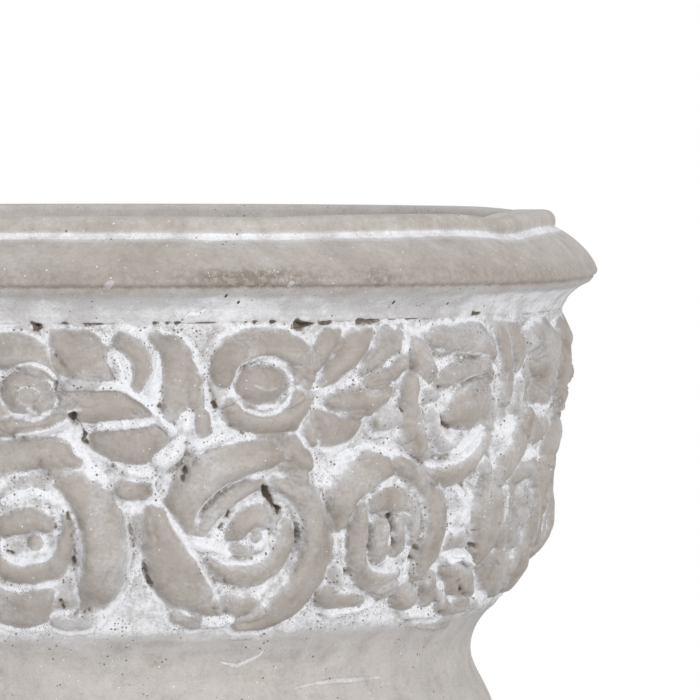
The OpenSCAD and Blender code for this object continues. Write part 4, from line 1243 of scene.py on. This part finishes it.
def layer(tree, name):
    """A number kept on the mesh's points."""
    return add(tree, "ShaderNodeAttribute", attribute_name=name).outputs["Fac"]


def put_on(finish, pieces):
    """Make a material the only one of some pieces."""
    for piece in pieces:
        piece.data.materials.clear()
        piece.data.materials.append(finish)


print("material helpers are ready")

# %% Where limewash lies
# Heights in metres between which the finish changes: the frieze's foot and head, the neck, the
# groove's upper edge, and the top of the lower body
FRIEZE_FOOT, FRIEZE_HEAD = (0.1155, 0.1175), (0.1885, 0.1905)
NECK, LIP, BODY_TOP = (0.108, 0.118), (0.2098, 0.2106), (0.085, 0.100)

cement, tree, shader, where = new_finish("limewashed_cement")
grain = noise(tree, where, 0.5, 3.0, 0.7)
edge_fine = noise(tree, where, 0.9, 4.0, 0.6)
edge_broad = noise(tree, where, 5.0, 3.0)
clouds = noise(tree, where, 26.0, 4.0, 0.55)
patches = noise(tree, where, 7.0, 4.0, 0.6)
mottle = noise(tree, where, 1.5, 6.0, 0.75)
long_ways = add(tree, "ShaderNodeVectorMath", {0: where, 1: (0.2, 0.2, 1.5)}, operation="MULTIPLY")
streaks = noise(tree, long_ways.outputs["Vector"], 2.2, 4.0, 0.6)

# Grit is the strength of fine noise: 0.85 on the frieze and 0.35 elsewhere
level = add(tree, "ShaderNodeSeparateXYZ", {0: where}).outputs["Z"]
grit = maths(tree, "MULTIPLY", ramp(tree, level, *FRIEZE_FOOT), ramp(tree, level, *FRIEZE_HEAD, 1.0, 0.0))
grit = total(tree, maths(tree, "MULTIPLY", grit, 0.5), 0.35)
# The wash layer is limewash, and on the frieze it also holds painted light and shade from the upper right
rough_wash = total(tree, layer(tree, "wash"), swing(tree, streaks, 0.35), swing(tree, edge_fine, grit),
                   swing(tree, edge_broad, ramp(tree, level, *BODY_TOP, 0.3, 0.7)))
film = ramp(tree, rough_wash, 0.12, 0.62)
thick = ramp(tree, rough_wash, 0.62, 1.12)
thick = maths(tree, "MULTIPLY", thick, ramp(tree, mottle, 0.5, 0.76, 1.0, 0.45))
print("nodes for the limewash:", len(tree.nodes))

# %% Colours of cement and limewash
BARE, BARE_PALE, BARE_WARM = (0.425, 0.384, 0.352, 1), (0.480, 0.444, 0.417, 1), (0.300, 0.258, 0.226, 1)
LIME, LIME_THIN = (0.905, 0.912, 0.945, 1), (0.605, 0.596, 0.600, 1)
LIME_WARM, LIME_SHADE = (0.630, 0.596, 0.568, 1), (0.460, 0.449, 0.452, 1)
# The stain tone serves both dirt and painted shade, and the pit and void tones are painted shade in holes
STAIN_AND_SHADE_TONE, PIT_SHADE, VOID_SHADE = (0.235, 0.203, 0.165, 1), (0.190, 0.155, 0.128, 1), (0.085, 0.069, 0.057, 1)

bare = blend_colour(tree, ramp(tree, clouds, 0.35, 0.65), BARE, BARE_PALE)
blotches = maths(tree, "MULTIPLY", ramp(tree, patches, 0.48, 0.74, 0.0, 0.7), total(tree, grit, 0.25))
for share in (blotches, ramp(tree, mottle, 0.42, 0.74, 0.0, 0.5), ramp(tree, streaks, 0.5, 0.75, 0.0, 0.35)):
    bare = blend_colour(tree, share, bare, BARE_WARM)
thin = blend_colour(tree, ramp(tree, level, *NECK), LIME_WARM, LIME_THIN)
thin = blend_colour(tree, ramp(tree, level, *LIP), thin, LIME_WARM)
thin = blend_colour(tree, maths(tree, "MULTIPLY", ramp(tree, patches, 0.4, 0.66), grit), thin, LIME_SHADE)
thin = blend_colour(tree, ramp(tree, mottle, 0.5, 0.75, 0.0, 0.6), thin, LIME_SHADE)
colour = blend_colour(tree, maths(tree, "MULTIPLY", film, 0.92), bare, thin)
colour = blend_colour(tree, thick, colour, LIME)
print("nodes with the colours:", len(tree.nodes))

# %% Pinholes, pores and specks
stain_and_shade_layer = layer(tree, "stain_and_shade")
void_shade_layer = layer(tree, "void_shade")

# Pinholes pierce the limewash, in clusters and where the stain layer is strong; their dark colour
# is painted shade in the holes
distance, own = dots(tree, where, 0.85)
clusters = ramp(tree, noise(tree, where, 9.0, 2.0), 0.42, 0.58, 0.3, 1.0)
hole_size = maths(tree, "MULTIPLY", ramp(tree, own["Red"], 0.4, 1.0, 0.0, 0.36),
                  maths(tree, "MAXIMUM", clusters, stain_and_shade_layer))
pinhole = maths(tree, "MULTIPLY", maths(tree, "LESS_THAN", distance, hole_size), ramp(tree, film, 0.25, 0.7))
spared = maths(tree, "SUBTRACT", 1.2, maths(tree, "MULTIPLY", grit, 1.4))
pinhole = maths(tree, "MULTIPLY", pinhole, maths(tree, "GREATER_THAN", own["Green"], spared))

# White specks of limewash lie everywhere
distance, own = dots(tree, where, 1.5)
speck = maths(tree, "LESS_THAN", distance, ramp(tree, own["Green"], 0.6, 1.0, 0.0, 0.14))

# Pores are the finest holes, and only in limewash; their dark dots are painted shade
distance, own = dots(tree, where, 0.5)
pore_size = maths(tree, "MULTIPLY", ramp(tree, patches, 0.42, 0.64, 0.1, 0.3), film)
pore = maths(tree, "LESS_THAN", distance, pore_size)

# Grain and stains are the cement's own tones; the stain layer also carries painted shade in hollows, on walls
# turned away and under the nose, and pinholes, pores and voids are painted shade
for share, tone in (
    (ramp(tree, grain, 0.5, 0.78, 0.0, 0.32), STAIN_AND_SHADE_TONE),
    (maths(tree, "MULTIPLY", stain_and_shade_layer, ramp(tree, mottle, 0.33, 0.6, 0.0, 0.95)), STAIN_AND_SHADE_TONE),
    (maths(tree, "MULTIPLY", speck, 0.8), LIME),
    (maths(tree, "MULTIPLY", pore, grit), STAIN_AND_SHADE_TONE),
    (maths(tree, "MULTIPLY", pinhole, 0.9), PIT_SHADE),
    (ramp(tree, void_shade_layer, 0.1, 0.4), PIT_SHADE),
    (ramp(tree, void_shade_layer, 0.7, 1.0), VOID_SHADE),
):
    colour = blend_colour(tree, share, colour, tone)
tree.links.new(colour, shader.inputs["Base Color"])
print("nodes with the holes:", len(tree.nodes))

# %% Roughness and relief of the cement
roughness = total(tree, ramp(tree, film, 0, 1, 0.5, 0.74), swing(tree, patches, 0.25))
tree.links.new(roughness, shader.inputs["Roughness"])
# What raises the skin, and by how much of a fifth of a millimetre
RISES = ((film, 0.35), (grain, 0.16), (thick, 0.5), (maths(tree, "MULTIPLY", mottle, film), 0.9),
         (pinhole, -0.8), (speck, 0.4))
skin = total(tree, *(maths(tree, "MULTIPLY", value, rise) for value, rise in RISES))
bumped = add(tree, "ShaderNodeBump", {"Height": skin, "Strength": 0.7, "Distance": 0.0002})
tree.links.new(bumped.outputs["Normal"], shader.inputs["Normal"])
shader.inputs["Specular IOR Level"].default_value = 0.4
put_on(cement, [pot] + carved)
print("cement nodes:", len(tree.nodes))

# %% [markdown]
# ## The felt's finish
# Pressed felt is dark, matt and a little fuzzy. Fine noise for its fibres and some sheen show that
# well enough under a pot, so no hair is modelled.

# %% Felt
FELT_DARK, FELT_PALE = (0.035, 0.033, 0.031, 1), (0.085, 0.08, 0.076, 1)
felt, tree, shader, where = new_finish("pressed_felt")
fibres = noise(tree, where, 0.5, 5.0, 0.7)
tree.links.new(blend_colour(tree, fibres, FELT_DARK, FELT_PALE), shader.inputs["Base Color"])
shader.inputs["Roughness"].default_value = 0.95
shader.inputs["Sheen Weight"].default_value = 0.3
fuzz_bump = add(tree, "ShaderNodeBump", {"Height": fibres, "Strength": 0.6, "Distance": 0.0002})
tree.links.new(fuzz_bump.outputs["Normal"], shader.inputs["Normal"])
put_on(felt, [pads])
print("felt nodes:", len(tree.nodes))

# %% [markdown]
# ## Camera
# The photograph is a close view from the front through a long lens, a little above the rim. It is
# tilted slightly down and aimed to the right of the pot's axis, so that the pot runs out of the
# picture at the left and below.

# %% Camera
camera_data = bpy.data.cameras.new("camera")
camera_data.lens = 255.6
camera_data.sensor_width = 36
camera_data.clip_end = 100
camera = bpy.data.objects.new("camera", camera_data)
camera.location = (0, -1.25, 0.2320)
camera.rotation_euler = Euler((np.radians(90 - 2.446), 0, np.radians(-2.880)))
bpy.context.collection.objects.link(camera)
bpy.context.scene.camera = camera
print("camera at", tuple(round(v, 3) for v in camera.location))

# %% [markdown]
# ## Studio
# A pale floor and an even white surround give soft light from everywhere, and four broad lamps give
# it a direction. The background is white because the world and the far floor look white to the
# camera and in reflections, and not because more light falls on the pot.

# %% Floor
def seen_directly(tree):
    """One for rays from the camera, from a mirror and through glass, and nought for all others."""
    path = add(tree, "ShaderNodeLightPath").outputs
    mirrored = maths(tree, "MAXIMUM", path["Is Glossy Ray"], path["Is Transmission Ray"])
    return maths(tree, "MAXIMUM", path["Is Camera Ray"], mirrored)


FLOOR_HALF = 6.0
# Distances in metres from the pot between which the floor fades to white
FADE = (0.3, 0.75)
corners = [(x * FLOOR_HALF, y * FLOOR_HALF, 0) for x, y in ((-1, -1), (1, -1), (1, 1), (-1, 1))]
floor_mesh = bpy.data.meshes.new("floor")
floor_mesh.from_pydata(corners, [], [(0, 1, 2, 3)])
floor = bpy.data.objects.new("floor", floor_mesh)
bpy.context.collection.objects.link(floor)
floor_finish, tree, shader, where = new_finish("floor_finish")
shader.inputs["Base Color"].default_value = (0.84, 0.84, 0.84, 1)
shader.inputs["Roughness"].default_value = 0.9
shader.inputs["Specular IOR Level"].default_value = 0.0
flat_distance = add(tree, "ShaderNodeVectorMath", {0: where}, operation="LENGTH").outputs["Value"]
white = add(tree, "ShaderNodeEmission", {"Color": (1, 1, 1, 1), "Strength": 1.0})
share = maths(tree, "MULTIPLY", seen_directly(tree), ramp(tree, flat_distance, *FADE))
mixed = add(tree, "ShaderNodeMixShader", {0: share, 1: shader.outputs[0], 2: white.outputs[0]})
tree.links.new(mixed.outputs[0], tree.nodes["Material Output"].inputs["Surface"])
floor_mesh.materials.append(floor_finish)
print("floor:", 2 * FLOOR_HALF, "m across")

# %% World
# How bright the surround is as light, while it looks white to the camera
FILL = 0.496
world = bpy.data.worlds.new("surround")
bpy.context.scene.world = world
world.use_nodes = True
tree = world.node_tree
background = tree.nodes["Background"]
background.inputs["Color"].default_value = (1, 1, 1, 1)
tree.links.new(ramp(tree, seen_directly(tree), 0, 1, FILL, 1.0), background.inputs["Strength"])
print("surround:", FILL)


# %% Lamps
def softbox(name, place, aim, width, height, watts):
    """A broad area lamp at a place, turned to face its aim."""
    lamp = bpy.data.lights.new(name, "AREA")
    lamp.shape = "RECTANGLE"
    lamp.size, lamp.size_y, lamp.energy = width, height, watts
    holder = bpy.data.objects.new(name, lamp)
    holder.location = place
    away = np.array(place) - np.array(aim)
    away = away / np.linalg.norm(away)
    holder.rotation_euler = Euler((np.arccos(away[2]), 0, np.arctan2(away[0], -away[1])))
    bpy.context.collection.objects.link(holder)
    print(name, watts, "W")


softbox("overhead", (0.3, -0.4, 1.6), (0, 0, 0.15), 1.4, 1.2, 5)
softbox("key_right", (1.15, -1.5, 0.62), (0, 0, 0.15), 0.6, 0.6, 10.2)
softbox("front_left", (-1.3, -1.5, 0.35), (0, 0, 0.15), 1.0, 0.5, 5.0)
softbox("low_front", (0.1, -2.0, 0.14), (0, 0, 0.13), 1.2, 0.2, 4)

# %% [markdown]
# ## Colours
# The colours are shown as written, without a film's curve.

# %% Colours as written
bpy.context.scene.view_settings.view_transform = "Standard"
print("view transform:", bpy.context.scene.view_settings.view_transform)
